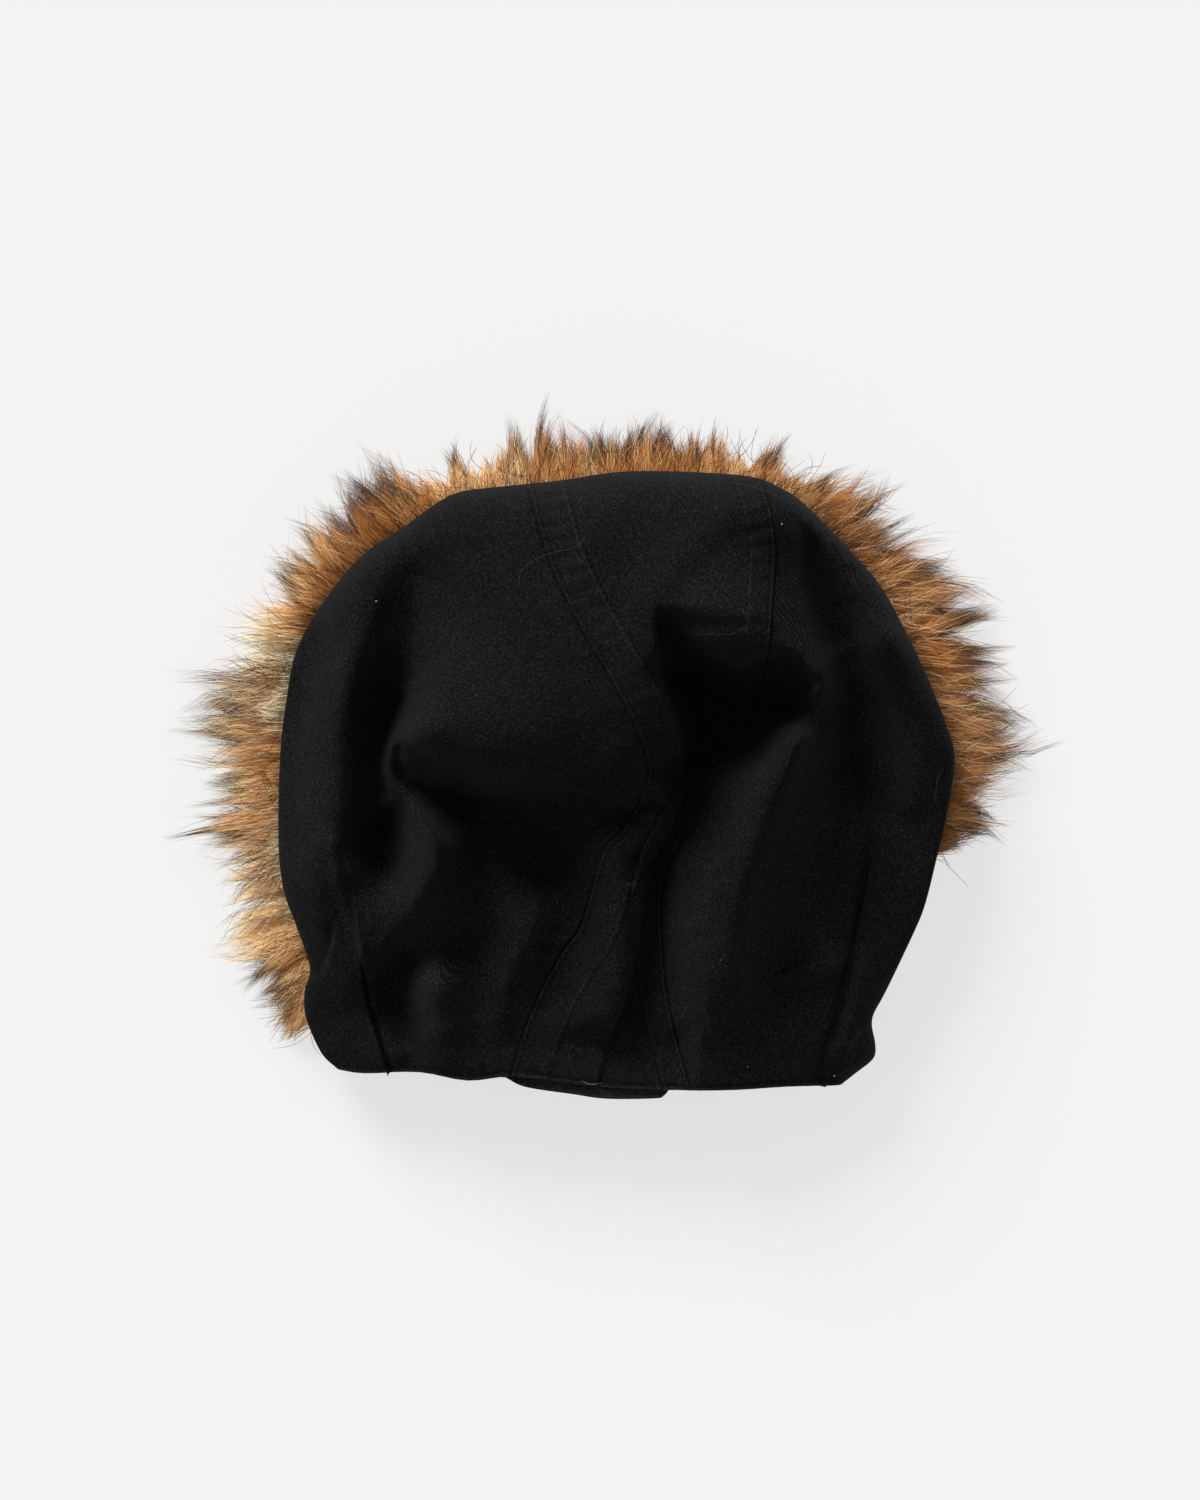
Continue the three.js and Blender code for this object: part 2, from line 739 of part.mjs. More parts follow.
// The centre panel turns under at the forehead.
const crown = rowsOfPoints[ROWS];
const foreheadColumns = CENTRE_STATIONS.map((s, i) => {
  if (i === 0) return [crown[LEFT_SEAM_COLUMN], ...crown.slice(0, UNDER_COLUMNS).reverse()];
  if (i === CENTRE_STATIONS.length - 1)
    return [crown[RIGHT_SEAM_COLUMN], ...crown.slice(LAST_COLUMN - UNDER_COLUMNS + 1)];
  const under = underLine(mix(leftShare, rightShare, s), UNDER_COLUMNS).slice(1).map(addPoint);
  return [crown[LEFT_SEAM_COLUMN + i], ...under];
});
for (let i = 0; i < CENTRE_STATIONS.length - 1; i++)
  for (let k = 0; k < UNDER_COLUMNS; k++) {
    const a = foreheadColumns[i];
    const b = foreheadColumns[i + 1];
    addQuad("centre_panel", a[k], b[k], b[k + 1], a[k + 1]);
  }

// The outward way at each point.
const normals = points.map(() => new THREE.Vector3());
for (const { corners } of triangles) {
  const [a, b, c] = corners.map((i) => points[i]);
  const n = b.clone().sub(a).cross(c.clone().sub(a));
  corners.forEach((i) => normals[i].add(n));
}
normals.forEach((n) => n.normalize());

// The points of each seam in order, hem to forehead.
const lastForehead = foreheadColumns[CENTRE_STATIONS.length - 1];
const seamPaths = [
  [...rowsOfPoints.map((r) => r[LEFT_SEAM_COLUMN]), ...foreheadColumns[0].slice(1)],
  [...rowsOfPoints.map((r) => r[RIGHT_SEAM_COLUMN]), ...lastForehead.slice(1)],
];

// How far points of the centre panel are raised by the seam allowance that is stitched down under it.
const raised = new Map();
CENTRE_STATIONS.forEach((s, i) => {
  if (s > STRIP_LEFT_SHARE && s < STRIP_RIGHT_SHARE) return;
  const rise = s === 0 || s === 1 ? SEAM_RISE : STRIP_RISE;
  rowsOfPoints.slice(0, -1).forEach((r) => raised.set(r[LEFT_SEAM_COLUMN + i], rise));
});

// One panel's wall: its outer side, its inner side and the edge between them.
function panelMesh(name, colour) {
  const own = triangles.filter((t) => t.panel === name);
  const centroidSum = new Map();
  for (const { corners } of own) {
    const centroid = new THREE.Vector3();
    corners.forEach((i) => centroid.addScaledVector(points[i], 1 / 3));
    for (const i of corners) {
      if (!centroidSum.has(i)) centroidSum.set(i, new THREE.Vector3());
      centroidSum.get(i).add(centroid.clone().sub(points[i]));
    }
  }
  const shift = new Map();
  for (const path of seamPaths)
    path.forEach((i, k) => {
      if (!centroidSum.has(i)) return;
      const before = points[path[Math.max(0, k - 1)]];
      const after = points[path[Math.min(path.length - 1, k + 1)]];
      const along = after.clone().sub(before).projectOnPlane(normals[i]).normalize();
      const across = normals[i].clone().cross(along).normalize();
      const side = Math.sign(across.dot(centroidSum.get(i)));
      shift.set(i, across.multiplyScalar((side * SEAM_GAP) / 2));
    });
  const numbers = new Map();
  const sheetNumbers = [...centroidSum.keys()];
  const positions = [];
  for (const i of sheetNumbers) {
    const outer = points[i].clone();
    if (shift.has(i)) outer.add(shift.get(i));
    const inner = outer.clone().addScaledVector(normals[i], -CLOTH_THICKNESS);
    if (name === "centre_panel" && raised.has(i)) outer.addScaledVector(normals[i], raised.get(i));
    numbers.set(i, positions.length / 3);
    positions.push(...outer.toArray(), ...inner.toArray());
  }
  const index = [];
  const edges = new Map();
  for (const { corners } of own) {
    const [a, b, c] = corners.map((i) => numbers.get(i));
    index.push(a, b, c, a + 1, c + 1, b + 1);
    for (const [p, q] of [[a, b], [b, c], [c, a]]) {
      if (edges.has(q + "," + p)) edges.delete(q + "," + p);
      else edges.set(p + "," + q, [p, q]);
    }
  }
  for (const [p, q] of edges.values()) {
    if (sheetNumbers[p / 2] < sheetNumbers[q / 2]) index.push(q, p, q + 1, p, p + 1, q + 1);
    else index.push(q, p, p + 1, q, p + 1, q + 1);
  }
  const geometry = new THREE.BufferGeometry();
  geometry.setAttribute("position", new THREE.Float32BufferAttribute(positions, 3));
  geometry.setIndex(index);
  const mesh = new THREE.Mesh(geometry, new THREE.MeshStandardMaterial({ color: colour, roughness: 0.9 }));
  mesh.name = name;
  return mesh;
}

// A solid of manifold-3d as a named mesh.
function meshOf(solid, name, colour) {
  const made = solid.getMesh();
  const geometry = new THREE.BufferGeometry();
  geometry.setAttribute("position", new THREE.BufferAttribute(new Float32Array(made.vertProperties), 3));
  geometry.setIndex(new THREE.BufferAttribute(new Uint32Array(made.triVerts), 1));
  const mesh = new THREE.Mesh(geometry, new THREE.MeshStandardMaterial({ color: colour, roughness: 0.95 }));
  mesh.name = name;
  return mesh;
}

// A whole number's own steady scatter between 0 and 1.
const scatter = (n) => {
  const v = Math.sin(n * 127.1 + 311.7) * 43758.5453;
  return v - Math.floor(v);
};

// How far the pile stands out past the cloth, from the locks on both sides of a share of the outline.
function reachAt(share) {
  const next = LOCKS.findIndex(([at]) => at >= share);
  if (next <= 0) return PILE * LOCKS[next === 0 ? 0 : LOCKS.length - 1][1];
  const [a, ra] = LOCKS[next - 1];
  const [b, rb] = LOCKS[next];
  return PILE * mix(ra, rb, (share - a) / (b - a));
}

// The fur's backing: a low strip under the face edge.
function furBacking() {
  const pieces = [];
  let before = null;
  for (let i = 0; i <= FUR_STEPS; i++) {
    const share = mix(FUR_START, FUR_END, i / FUR_STEPS);
    const taper = smooth(Math.min(i, FUR_STEPS - i) / FUR_END_STEPS);
    const inner = insetPoint(share, mix(FUR_END_INSET, FUR_INNER_INSET, taper));
    const middle = insetPoint(share, FUR_MIDDLE_INSET);
    const outer = insetPoint(share, -FUR_BODY_SHARE * reachAt(share) * mix(0.5, 1, taper));
    const top = mix(FUR_END_TOP, FUR_TOP, taper);
    const edgeTop = mix(FUR_END_EDGE_TOP, FUR_EDGE_TOP, taper);
    const section = [
      [...inner, 0],
      [...inner, top],
      [...middle, top],
      [...outer, edgeTop],
      [...outer, 0],
    ];
    if (before) pieces.push(Manifold.hull([...before, ...section]));
    before = section;
  }
  return Manifold.union(pieces);
}

// One lock: a three-sided body that bends at its middle and ends in a narrow tuft.
function lock(share, [out, sideways], rootHeight, middleHeight, tipHeight) {
  const [ox, oy] = pointAt(outline, outlineAlong, share);
  const [ax, ay] = pointAt(outline, outlineAlong, share - LOCK_STEP);
  const [bx, by] = pointAt(outline, outlineAlong, share + LOCK_STEP);
  const step = Math.hypot(bx - ax, by - ay);
  const [tx, ty] = [(bx - ax) / step, (by - ay) / step];
  const reach = Math.hypot(out, sideways);
  const dx = (-ty * out + tx * sideways) / reach;
  const dy = (tx * out + ty * sideways) / reach;
  const section = (far, half, low, high) =>
    [
      [-half, low],
      [half, low],
      [0, high],
    ].map(([side, z]) => [ox + dx * far - dy * side, oy + dy * far + dx * side, z]);
  const bottom = Math.max(LOCK_LOWEST, middleHeight - LOCK_DEPTH);
  const root = section(LOCK_ROOT, LOCK_WIDTH * 0.45, LOCK_LOWEST, rootHeight);
  const belly = section(reach * 0.5, LOCK_WIDTH * 0.5, bottom, middleHeight);
  const inside = section(reach * 0.48, LOCK_WIDTH * 0.48, bottom + 0.1, middleHeight - 0.1);
  const tuft = section(reach, LOCK_TIP, Math.max(0.6, tipHeight - 1), tipHeight + 0.6);
  return [Manifold.hull([...root, ...belly]), Manifold.hull([...inside, ...tuft])];
}

const furPieces = [furBacking()];
LOCKS.forEach(([share, outShare, leanShare], n) => {
  const rim = rimHeight(pointAt(outline, outlineAlong, share)[1]);
  const isLow = n % 2 === 0;
  const lift = scatter(n);
  const tipHeight = isLow ? 1 + LOW_TIP_RISE * lift : rim * HIGH_TIP_SHARE + HIGH_TIP_RISE * lift;
  const rootHeight = isLow ? LOW_LOCK_ROOT : HIGH_LOCK_ROOT;
  const middleHeight = isLow ? LOW_LOCK_TOP : rim * HIGH_LOCK_SHARE;
  const tip = [PILE * outShare, PILE * leanShare];
  furPieces.push(...lock(share, tip, rootHeight, middleHeight, tipHeight));
});
// Small pockets between the locks are filled: only the largest body is kept.
const furBodies = Manifold.union(furPieces).decompose();
const furSolid = furBodies.reduce((a, b) => (b.volume() > a.volume() ? b : a));
const fur = meshOf(furSolid.simplify(FUR_TOLERANCE), "fur_trim", 0x9c6236);

const tabShape = new THREE.Shape(inMillimetres(TAB).map(([x, y]) => new THREE.Vector2(x, y)));
const tabGeometry = new THREE.ExtrudeGeometry(tabShape, { depth: TAB_THICKNESS, bevelEnabled: false });
const tab = new THREE.Mesh(tabGeometry, new THREE.MeshStandardMaterial({ color: 0x17181b, roughness: 0.9 }));
tab.name = "nape_tab";
const tabFace = HEM_HEIGHT - CLOTH_THICKNESS - TAB_GAP;
tabGeometry.translate(0, 0, tabFace - TAB_THICKNESS);

const hood = new THREE.Group();
hood.name = "hood";
hood.add(panelMesh("left_panel", 0x1b1c20));
hood.add(panelMesh("centre_panel", 0x1d1e22));
hood.add(panelMesh("right_panel", 0x1b1c20));
hood.add(tab);
hood.add(fur);

// The middle of the whole hood's plan stands over the frame's origin.
const box = new THREE.Box3().setFromObject(hood);
const middle = box.getCenter(new THREE.Vector3());
hood.children.forEach((mesh) => mesh.geometry.translate(-middle.x, -middle.y, -box.min.z));

export default hood;
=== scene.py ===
import math

import bpy
import numpy as np
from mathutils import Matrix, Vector


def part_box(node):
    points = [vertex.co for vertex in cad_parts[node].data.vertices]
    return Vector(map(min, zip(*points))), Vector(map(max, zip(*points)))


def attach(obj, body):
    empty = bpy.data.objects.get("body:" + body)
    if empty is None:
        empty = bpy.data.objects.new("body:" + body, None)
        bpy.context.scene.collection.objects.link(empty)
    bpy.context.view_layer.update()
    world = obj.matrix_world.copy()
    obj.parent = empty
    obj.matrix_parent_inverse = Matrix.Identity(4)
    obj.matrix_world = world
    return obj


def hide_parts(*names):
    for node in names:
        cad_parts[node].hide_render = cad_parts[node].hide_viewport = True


# The looks of a detachable hood that lies on its face, its back up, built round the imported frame.
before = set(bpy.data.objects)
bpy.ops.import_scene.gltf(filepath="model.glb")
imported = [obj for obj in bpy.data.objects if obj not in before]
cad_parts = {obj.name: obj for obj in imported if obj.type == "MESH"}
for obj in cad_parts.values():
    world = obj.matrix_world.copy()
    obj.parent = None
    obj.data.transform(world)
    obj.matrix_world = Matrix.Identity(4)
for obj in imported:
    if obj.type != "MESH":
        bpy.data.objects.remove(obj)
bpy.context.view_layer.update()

MM = 0.001

# Sizes of the cloth, as in the part's source, in millimetres.
HALF_WIDTH = 168.0
HALF_LENGTH = 153.0
CLOTH_HEIGHT = 118.0
CLOTH_THICKNESS = 2.0
ROLL_REACH = 42.0
RIM_LOW = 22.0
RIM_HIGH = 42.0
RIM_CLIMB_SHARE = 0.8
ROLL_SHARPNESS = 2.6
ROLL_ROUNDNESS = 2.2
FACE_INSET = 22.0
FACE_TURN = 12.0
FACE_DROP = 0.75
FUR_TOP = 8.6
FUR_START = 0.085
FUR_END = 0.865
FUR_FADE = 0.04
HEM_HEIGHT = 45.0
TAB_LEFT = -0.327 * HALF_WIDTH
TAB_RIGHT = 0.158 * HALF_WIDTH
TAB_TOP = -0.9216 * HALF_LENGTH
TAB_THICKNESS = 2.0
TAB_GAP = 0.3
FLAT_TOP = -0.869 * HALF_LENGTH
FLAT_FADE_X = 16.0
FLAT_FADE_Y = 18.0
FLAP_SHARE = 0.1
FOLD_SPACING = 13.0
FOLD_SOFTNESS = 6.0
FOLD_EASE = 1.5

# Seams and stitches, in millimetres.
STITCH_STEP = 3.5
STITCH_LENGTH = 2.6
STITCH_WIDTH = 0.5
STRIP_LEFT = 19.0
STRIP_RIGHT = 14.0
STRIP_RISE = 0.9
STRIP_SLOPE = 1.8
SEAM_STITCH = 2.1
STRIP_STITCH = 0.9
HEM_STITCH = 2.2
HEM_BAND = 13.0
HEM_BAND_RISE = 0.4
PUCKER_STEP = 8.3
PUCKER_RISE = (0.2, 0.55)
PUCKERS_GROW_AT = 0.72

# Lines along the sewing: rise and half width in millimetres.
RELIEF = {"seam": (-0.9, 0.5), "roll": (0.3, 0.6), "pit": (-0.6, 0.6), "hem_pit": (-0.5, 0.6)}

# Painted shade and highlight along the sewing and darts: darker as shade in seams, stitch pits and darts,
# paler as highlights on the rolled edge, the strip's edge and the hem's edge; strength and half width in
# millimetres.
PAINTED_SHADE_AND_HIGHLIGHT = {
    "seam": (-1.5, 0.5), "roll": (0.9, 0.5), "pit": (-1.9, 0.5), "strip_edge": (0.8, 0.5),
    "dart": (-1.8, 0.9), "hem_edge": (0.9, 1.0), "hem_pit": (-0.9, 0.5),
}

# Sharp creases: the fall's power, and the small hump beside it, as a share of the drop and in millimetres.
FALL_POWER = 1.4
HUMP_SHARE = 0.06
HUMP_WIDTH = 5.0

# Unevenness of the cloth: rise and size in millimetres, and seed.
WAVES = [(0.22, 34, 3), (0.07, 11, 5)]
CALM_REACH = 14.0
CALM_SHARE = 0.35
TAB_CALM = 0.85

# Fine grids of the cloth: counts, and the first steps from an edge in millimetres.
SIDE_ROWS = 236
SIDE_TOP = 200
SIDE_UNDER = 22
CENTRE_COLUMNS = 140
FINE = 160
COARSE = 3
EDGE_STEPS = [0.0, 0.4, 0.9, 1.5]
HEM_STEPS = [0.0, 0.5, 1.0, 1.5, 2.0, 2.5, 3.0]
SEAM_STEPS = [0.0, 0.4, 0.9, 1.5, 2.1, 2.7]
PIT_STEPS = [-1.0, -0.5, 0.0, 0.5, 1.0, 1.7]
STRIP_INNER = 11
SEAM_RUN = 300.0
CROWN_BEND = 0.9

# Rounded edge of a cloth wall: depth below the outer side, reach past the edge, and reach where it is sewn.
WALL_EDGE = [(0.25, 0.12, 0.12), (0.6, 0.16, 0.3), (1.2, 0.16, 1.1), (1.7, 0.1, 1.1), (2.0, 0.0, 0.0)]

# The pile, in millimetres where not a share.
PILE_SHARE = 0.56
PILE_THICK = 20
PILE_START = 0.03
PILE_END = 0.86
TUFT_PLACES = 4
TUFT_LEVELS = 3
PILE_FADE = 26.0
# Reach of the painted shade on the pile beside the cloth, as a share of the fade length.
PAINTED_ROOT_SHADE_REACH = 0.28
RIBBON_TURN = 0.6
STRAY_SECTIONS = 7
STRAY_LONGEST = 53

# Where the cloth's own middle stands in the frame, in millimetres.
tab_low, tab_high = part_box("nape_tab")
SHIFT_X = tab_low.x / MM - TAB_LEFT
SHIFT_Y = tab_high.y / MM - TAB_TOP
SHIFT = np.array([SHIFT_X, SHIFT_Y, 0.0])

# Outline of the back: x and y as shares of the half width and half length.
OUTLINE = [
    (-0.83, -0.945), (-0.88, -0.89), (-0.925, -0.77), (-0.925, -0.68), (-0.91, -0.61), (-0.95, -0.47),
    (-0.985, -0.36), (-1.0, -0.2), (-0.995, 0.08), (-0.975, 0.27), (-0.95, 0.41), (-0.885, 0.55),
    (-0.76, 0.72), (-0.63, 0.82), (-0.49, 0.925), (-0.36, 0.95), (-0.18, 0.97), (0.01, 1.0), (0.2, 1.0),
    (0.39, 0.985), (0.48, 0.95), (0.57, 0.88), (0.76, 0.66), (0.85, 0.49), (0.92, 0.33), (0.975, 0.18),
    (1.0, 0.07), (0.98, -0.1), (0.95, -0.24), (0.915, -0.4), (0.88, -0.5), (0.8, -0.69), (0.76, -0.78),
    (0.77, -0.86), (0.765, -0.91), (0.71, -0.96), (0.67, -0.995),
]

# The neck hem from the left corner to the right one. Columns as above.
HEM = [
    (-0.83, -0.945), (-0.75, -0.955), (-0.58, -0.95), (-0.44, -0.975), (-0.3, -0.96), (-0.12, -0.985),
    (0.02, -1.0), (0.3, -1.005), (0.5, -0.995), (0.67, -0.995),
]

# The two seams from the hem to the crown. Columns as above.
LEFT_SEAM = [
    (-0.313, -0.96), (-0.256, -0.765), (-0.168, -0.57), (-0.108, -0.472), (-0.064, -0.309), (-0.034, -0.212),
    (0.02, -0.15), (0.088, 0.0), (0.07, 0.13), (-0.004, 0.293), (-0.123, 0.521), (-0.203, 0.716),
    (-0.265, 0.962),
]
RIGHT_SEAM = [
    (0.218, -1.0), (0.153, -0.716), (0.132, -0.456), (0.144, -0.293), (0.218, -0.13), (0.322, 0.065),
    (0.411, 0.26), (0.44, 0.423), (0.449, 0.521), (0.461, 0.716), (0.449, 0.846), (0.4165, 0.983),
]

# The front edge of the chin flap. Columns as above.
FLAP_EDGE = [(-0.18, -0.99), (-0.185, -0.86), (-0.27, -0.76), (-0.46, -0.71), (-0.66, -0.66)]

# Ridges and valleys: x share, y share, height share of each point, a row per fold.
FOLDS = {
    "top": [(-0.508, 0.797, 0.788), (-0.093, 0.832, 0.856), (0.384, 0.797, 0.864)],
    "left_shoulder": [(-0.861, 0.456, 0.501), (-0.898, 0.159, 0.465), (-0.892, -0.159, 0.571)],
    "left_ridge": [(-0.716, 0.684, 0.844), (-0.795, 0.319, 0.678), (-0.803, 0, 0.663),
        (-0.83, -0.182, 0.643)],
    "left_valley": [(-0.59, 0.66, 0.643), (-0.6, 0.45, 0.62), (-0.615, 0.31, 0.535), (-0.68, 0.19, 0.44),
        (-0.725, 0.08, 0.46), (-0.715, -0.03, 0.5), (-0.665, -0.15, 0.32), (-0.675, -0.28, 0.32)],
    "left_low": [(-0.782, -0.296, 0.598), (-0.824, -0.478, 0.513), (-0.799, -0.638, 0.451)],
    "bulge_back": [(-0.405, 0.661, 0.811), (-0.218, 0.524, 0.89), (-0.01, 0.365, 0.94)],
    "bulge_crest": [(-0.529, 0.296, 0.884), (-0.301, 0.273, 0.94), (-0.01, 0.159, 0.887)],
    "bulge_foot": [(-0.55, 0.091, 0.88), (-0.363, 0.023, 0.881), (-0.156, 0.034, 0.834),
        (0.01, -0.011, 0.766), (0.114, 0.046, 0.741)],
    "nose": [(-0.595, 0.178, 0.9), (-0.625, 0.1, 0.775), (-0.605, 0, 0.61)],
    "hook": [(-0.587, -0.068, 0.66), (-0.527, -0.182, 0.801), (-0.56, -0.319, 0.733),
        (-0.654, -0.444, 0.568), (-0.685, -0.57, 0.501)],
    "crease": [(-0.483, -0.046, 0.469), (-0.384, -0.073, 0.523), (-0.176, -0.064, 0.638),
        (-0.01, -0.114, 0.622), (0.093, -0.068, 0.619)],
    "basin": [(-0.425, -0.251, 0.408), (-0.218, -0.273, 0.351), (-0.073, -0.251, 0.592)],
    "low_bulge": [(-0.405, -0.456, 0.385), (-0.322, -0.661, 0.455), (-0.239, -0.433, 0.518)],
    "low_valley": [(-0.633, -0.57, 0.32), (-0.622, -0.752, 0.32), (-0.602, -0.911, 0.305)],
    "low_valley_2": [(-0.456, -0.524, 0.351), (-0.425, -0.706, 0.43), (-0.363, -0.911, 0.405)],
    "low_ridge_2": [(-0.539, -0.661, 0.521), (-0.498, -0.889, 0.417)],
    "strip_low": [(-0.135, -0.387, 0.439), (-0.197, -0.706, 0.372), (-0.259, -0.911, 0.424)],
    "ridge_of_groove": [(0.135, -0.034, 0.767), (0.052, -0.228, 0.634), (0.031, -0.433, 0.628),
        (0.021, -0.615, 0.59), (-0.041, -0.911, 0.493)],
    "nose_edge": [(0.098, 0.558, 0.903), (0.12, 0.387, 0.94), (0.166, 0.239, 0.767), (0.181, 0.114, 0.772)],
    "hollow": [(0.176, 0.33, 0.385), (0.301, 0.275, 0.44), (0.425, 0.255, 0.447), (0.519, 0.25, 0.47)],
    "hollow_lip": [(0.135, 0.513, 0.94), (0.228, 0.428, 0.94), (0.342, 0.383, 0.879), (0.467, 0.415, 0.899),
        (0.55, 0.353, 0.844)],
    "hollow_slope": [(0.239, 0.137, 0.408), (0.405, 0.12, 0.43)],
    "low_back": [(0.301, -0.068, 0.538), (0.249, -0.342, 0.634), (0.239, -0.615, 0.611),
        (0.28, -0.866, 0.508)],
    "low_back_side": [(0.197, -0.251, 0.563), (0.176, -0.57, 0.475), (0.176, -0.866, 0.474)],
    "groove": [(0.197, 0.046, 0.419), (0.139, -0.091, 0.627), (0.104, -0.273, 0.514), (0.11, -0.478, 0.44),
        (0.104, -0.638, 0.436), (0.041, -0.911, 0.38)],
    "right_ridge": [(0.494, 0.854, 0.898), (0.544, 0.684, 0.736), (0.566, 0.501, 0.75),
        (0.596, 0.296, 0.925)],
    "right_ridge_low": [(0.519, 0.137, 0.94), (0.436, -0.068, 0.805), (0.394, -0.273, 0.787),
        (0.359, -0.478, 0.688), (0.359, -0.638, 0.643)],
    "right_valley": [(0.6, 0.785, 0.85), (0.662, 0.56, 0.615), (0.692, 0.27, 0.475), (0.668, 0.04, 0.4)],
    "right_valley_low": [(0.6, -0.17, 0.475), (0.56, -0.31, 0.48), (0.53, -0.478, 0.46),
        (0.49, -0.64, 0.398)],
    "right_shoulder": [(0.778, 0.456, 0.835), (0.872, 0.137, 0.497), (0.82, -0.205, 0.402),
        (0.757, -0.524, 0.368)],
    "right_low": [(0.65, -0.6, 0.465), (0.56, -0.82, 0.32), (0.674, -0.797, 0.422)],
    "hem": [(-0.861, -0.775, 0.305), (-0.508, -0.923, 0.39), (-0.135, -0.946, 0.407),
        (0.301, -0.946, 0.458)],
}

# Locks of the fur: share of the outline where each grows, how far its tip stands out and to the
# crown's side in millimetres, and how dark the tip is.
LOCKS = [
    (0.045, 12, -22, 0.5), (0.051, 14, -25, 0.6), (0.057, 15, -24, 0.8), (0.063, 20, -19, 0.7),
    (0.070, 26, -13, 0.9), (0.079, 31, -10, 0.9),
    (0.088, 32, -5, 0.9), (0.101, 43, -3, 0.3), (0.110, 37, -9, 0.3), (0.123, 33, -1, 0.3),
    (0.133, 26, -19, 0.3), (0.141, 28, -11, 0.3), (0.151, 37, -11, 0.3), (0.161, 44, -11, 1),
    (0.170, 30, -4, 0.2), (0.179, 42, -5, 0.8), (0.188, 34, -9, 0.4), (0.197, 36, -9, 0.3),
    (0.209, 50, -6, 0.9), (0.218, 44, -7, 0.6), (0.226, 51, -10, 1), (0.234, 48, -9, 1), (0.242, 37, -8, 0.4),
    (0.251, 32, -10, 0.2), (0.257, 30, -6, 0.2), (0.266, 41, -13, 0.05), (0.273, 39, -13, 0.05),
    (0.278, 34, -10, 0.1), (0.285, 30, -1, 0.5), (0.293, 34, 1, 0.9), (0.302, 34, -2, 0.5),
    (0.310, 35, 3, 0.6), (0.316, 41, 11, 0.8), (0.322, 31, 2, 0.5), (0.330, 25, -7, 0.6), (0.339, 33, -2, 1),
    (0.350, 36, -3, 1), (0.358, 42, -1, 1), (0.365, 34, -2, 0.9), (0.373, 32, -1, 0.5), (0.381, 22, -4, 0.4),
    (0.390, 17, -3, 0.3), (0.398, 24, 1, 0.9), (0.408, 16, -5, 0.3), (0.417, 19, -3, 0.3),
    (0.426, 21, 0, 0.3), (0.433, 33, -1, 0.9), (0.441, 21, 0, 0.3), (0.449, 34, 5, 1), (0.457, 27, 3, 0.9),
    (0.465, 26, 2, 0.5), (0.473, 24, 6, 0.6), (0.482, 26, 5, 0.8), (0.491, 19, 3, 0.4), (0.499, 26, 2, 1),
    (0.509, 27, 3, 0.6), (0.520, 27, 0, 1), (0.528, 19, 1, 0.3), (0.536, 25, 1, 0.6), (0.544, 24, 3, 0.5),
    (0.551, 24, 4, 0.4), (0.560, 16, 6, 0.3), (0.569, 11, 7, 0.3), (0.577, 23, 8, 0.7), (0.587, 15, 3, 0.4),
    (0.596, 14, 4, 0.4), (0.606, 25, 3, 0.9), (0.612, 27, 9, 0.6), (0.620, 36, 9, 0.6), (0.627, 35, 10, 0.6),
    (0.636, 31, 15, 1), (0.644, 29, 13, 1), (0.652, 16, 16, 1), (0.659, 26, 13, 0.8), (0.667, 42, 24, 0.9),
    (0.675, 36, 19, 0.7), (0.685, 42, 19, 1), (0.695, 32, 13, 0.4), (0.705, 50, 13, 1), (0.715, 32, 17, 0.5),
    (0.727, 44, 22, 1), (0.741, 34, 13, 0.4), (0.751, 30, 18, 0.9), (0.761, 30, 16, 0.5),
    (0.770, 43, 13, 0.9),
    (0.780, 31, 5, 0.5), (0.788, 38, 2, 0.8), (0.798, 25, 1, 0.5), (0.806, 23, 1, 0.4), (0.815, 22, -2, 0.6),
    (0.823, 30, -2, 0.9), (0.830, 21, -4, 0.6), (0.838, 15, 0, 0.4),
]

# The pile's tone along the outline: share, tone near the cloth, partly painted shade from the cloth's edge,
# tone further out, how grey the roots are.
# A tone of 0 is dark brown, 0.3 orange brown, 0.6 golden tan and 1 cream.
TONES = [
    (0.04, 0.55, 0.65, 0.0), (0.08, 0.5, 0.6, 0.0), (0.105, 0.75, 0.8, 0.0), (0.13, 0.95, 0.85, 0.2),
    (0.145, 0.9, 0.9, 0.6), (0.158, 0.75, 0.6, 0.4), (0.17, 0.5, 0.68, 0.1), (0.185, 0.38, 0.7, 0.0),
    (0.2, 0.45, 0.65, 0.1), (0.213, 0.85, 0.7, 0.4), (0.23, 0.95, 0.9, 0.6), (0.245, 0.95, 0.95, 0.6),
    (0.257, 0.95, 1.0, 0.3), (0.272, 0.5, 1.0, 0.1), (0.282, 0.25, 0.7, 0.0), (0.3, 0.2, 0.6, 0.0),
    (0.32, 0.18, 0.45, 0.0), (0.34, 0.25, 0.2, 0.0), (0.36, 0.25, 0.22, 0.0), (0.375, 0.4, 0.45, 0.0),
    (0.39, 0.6, 0.55, 0.0), (0.42, 0.7, 0.5, 0.1), (0.435, 0.8, 0.5, 0.1), (0.45, 0.5, 0.38, 0.0),
    (0.48, 0.42, 0.32, 0.0), (0.53, 0.45, 0.32, 0.0), (0.57, 0.5, 0.45, 0.0), (0.6, 0.4, 0.45, 0.0),
    (0.62, 0.3, 0.5, 0.0), (0.64, 0.2, 0.35, 0.0), (0.655, 0.12, 0.3, 0.0), (0.67, 0.48, 0.38, 0.1),
    (0.69, 0.45, 0.34, 0.1), (0.71, 0.3, 0.35, 0.05), (0.73, 0.3, 0.38, 0.05), (0.75, 0.42, 0.52, 0.05),
    (0.765, 0.5, 0.6, 0.05), (0.785, 0.4, 0.5, 0.0), (0.81, 0.35, 0.42, 0.0), (0.84, 0.35, 0.4, 0.0),
]
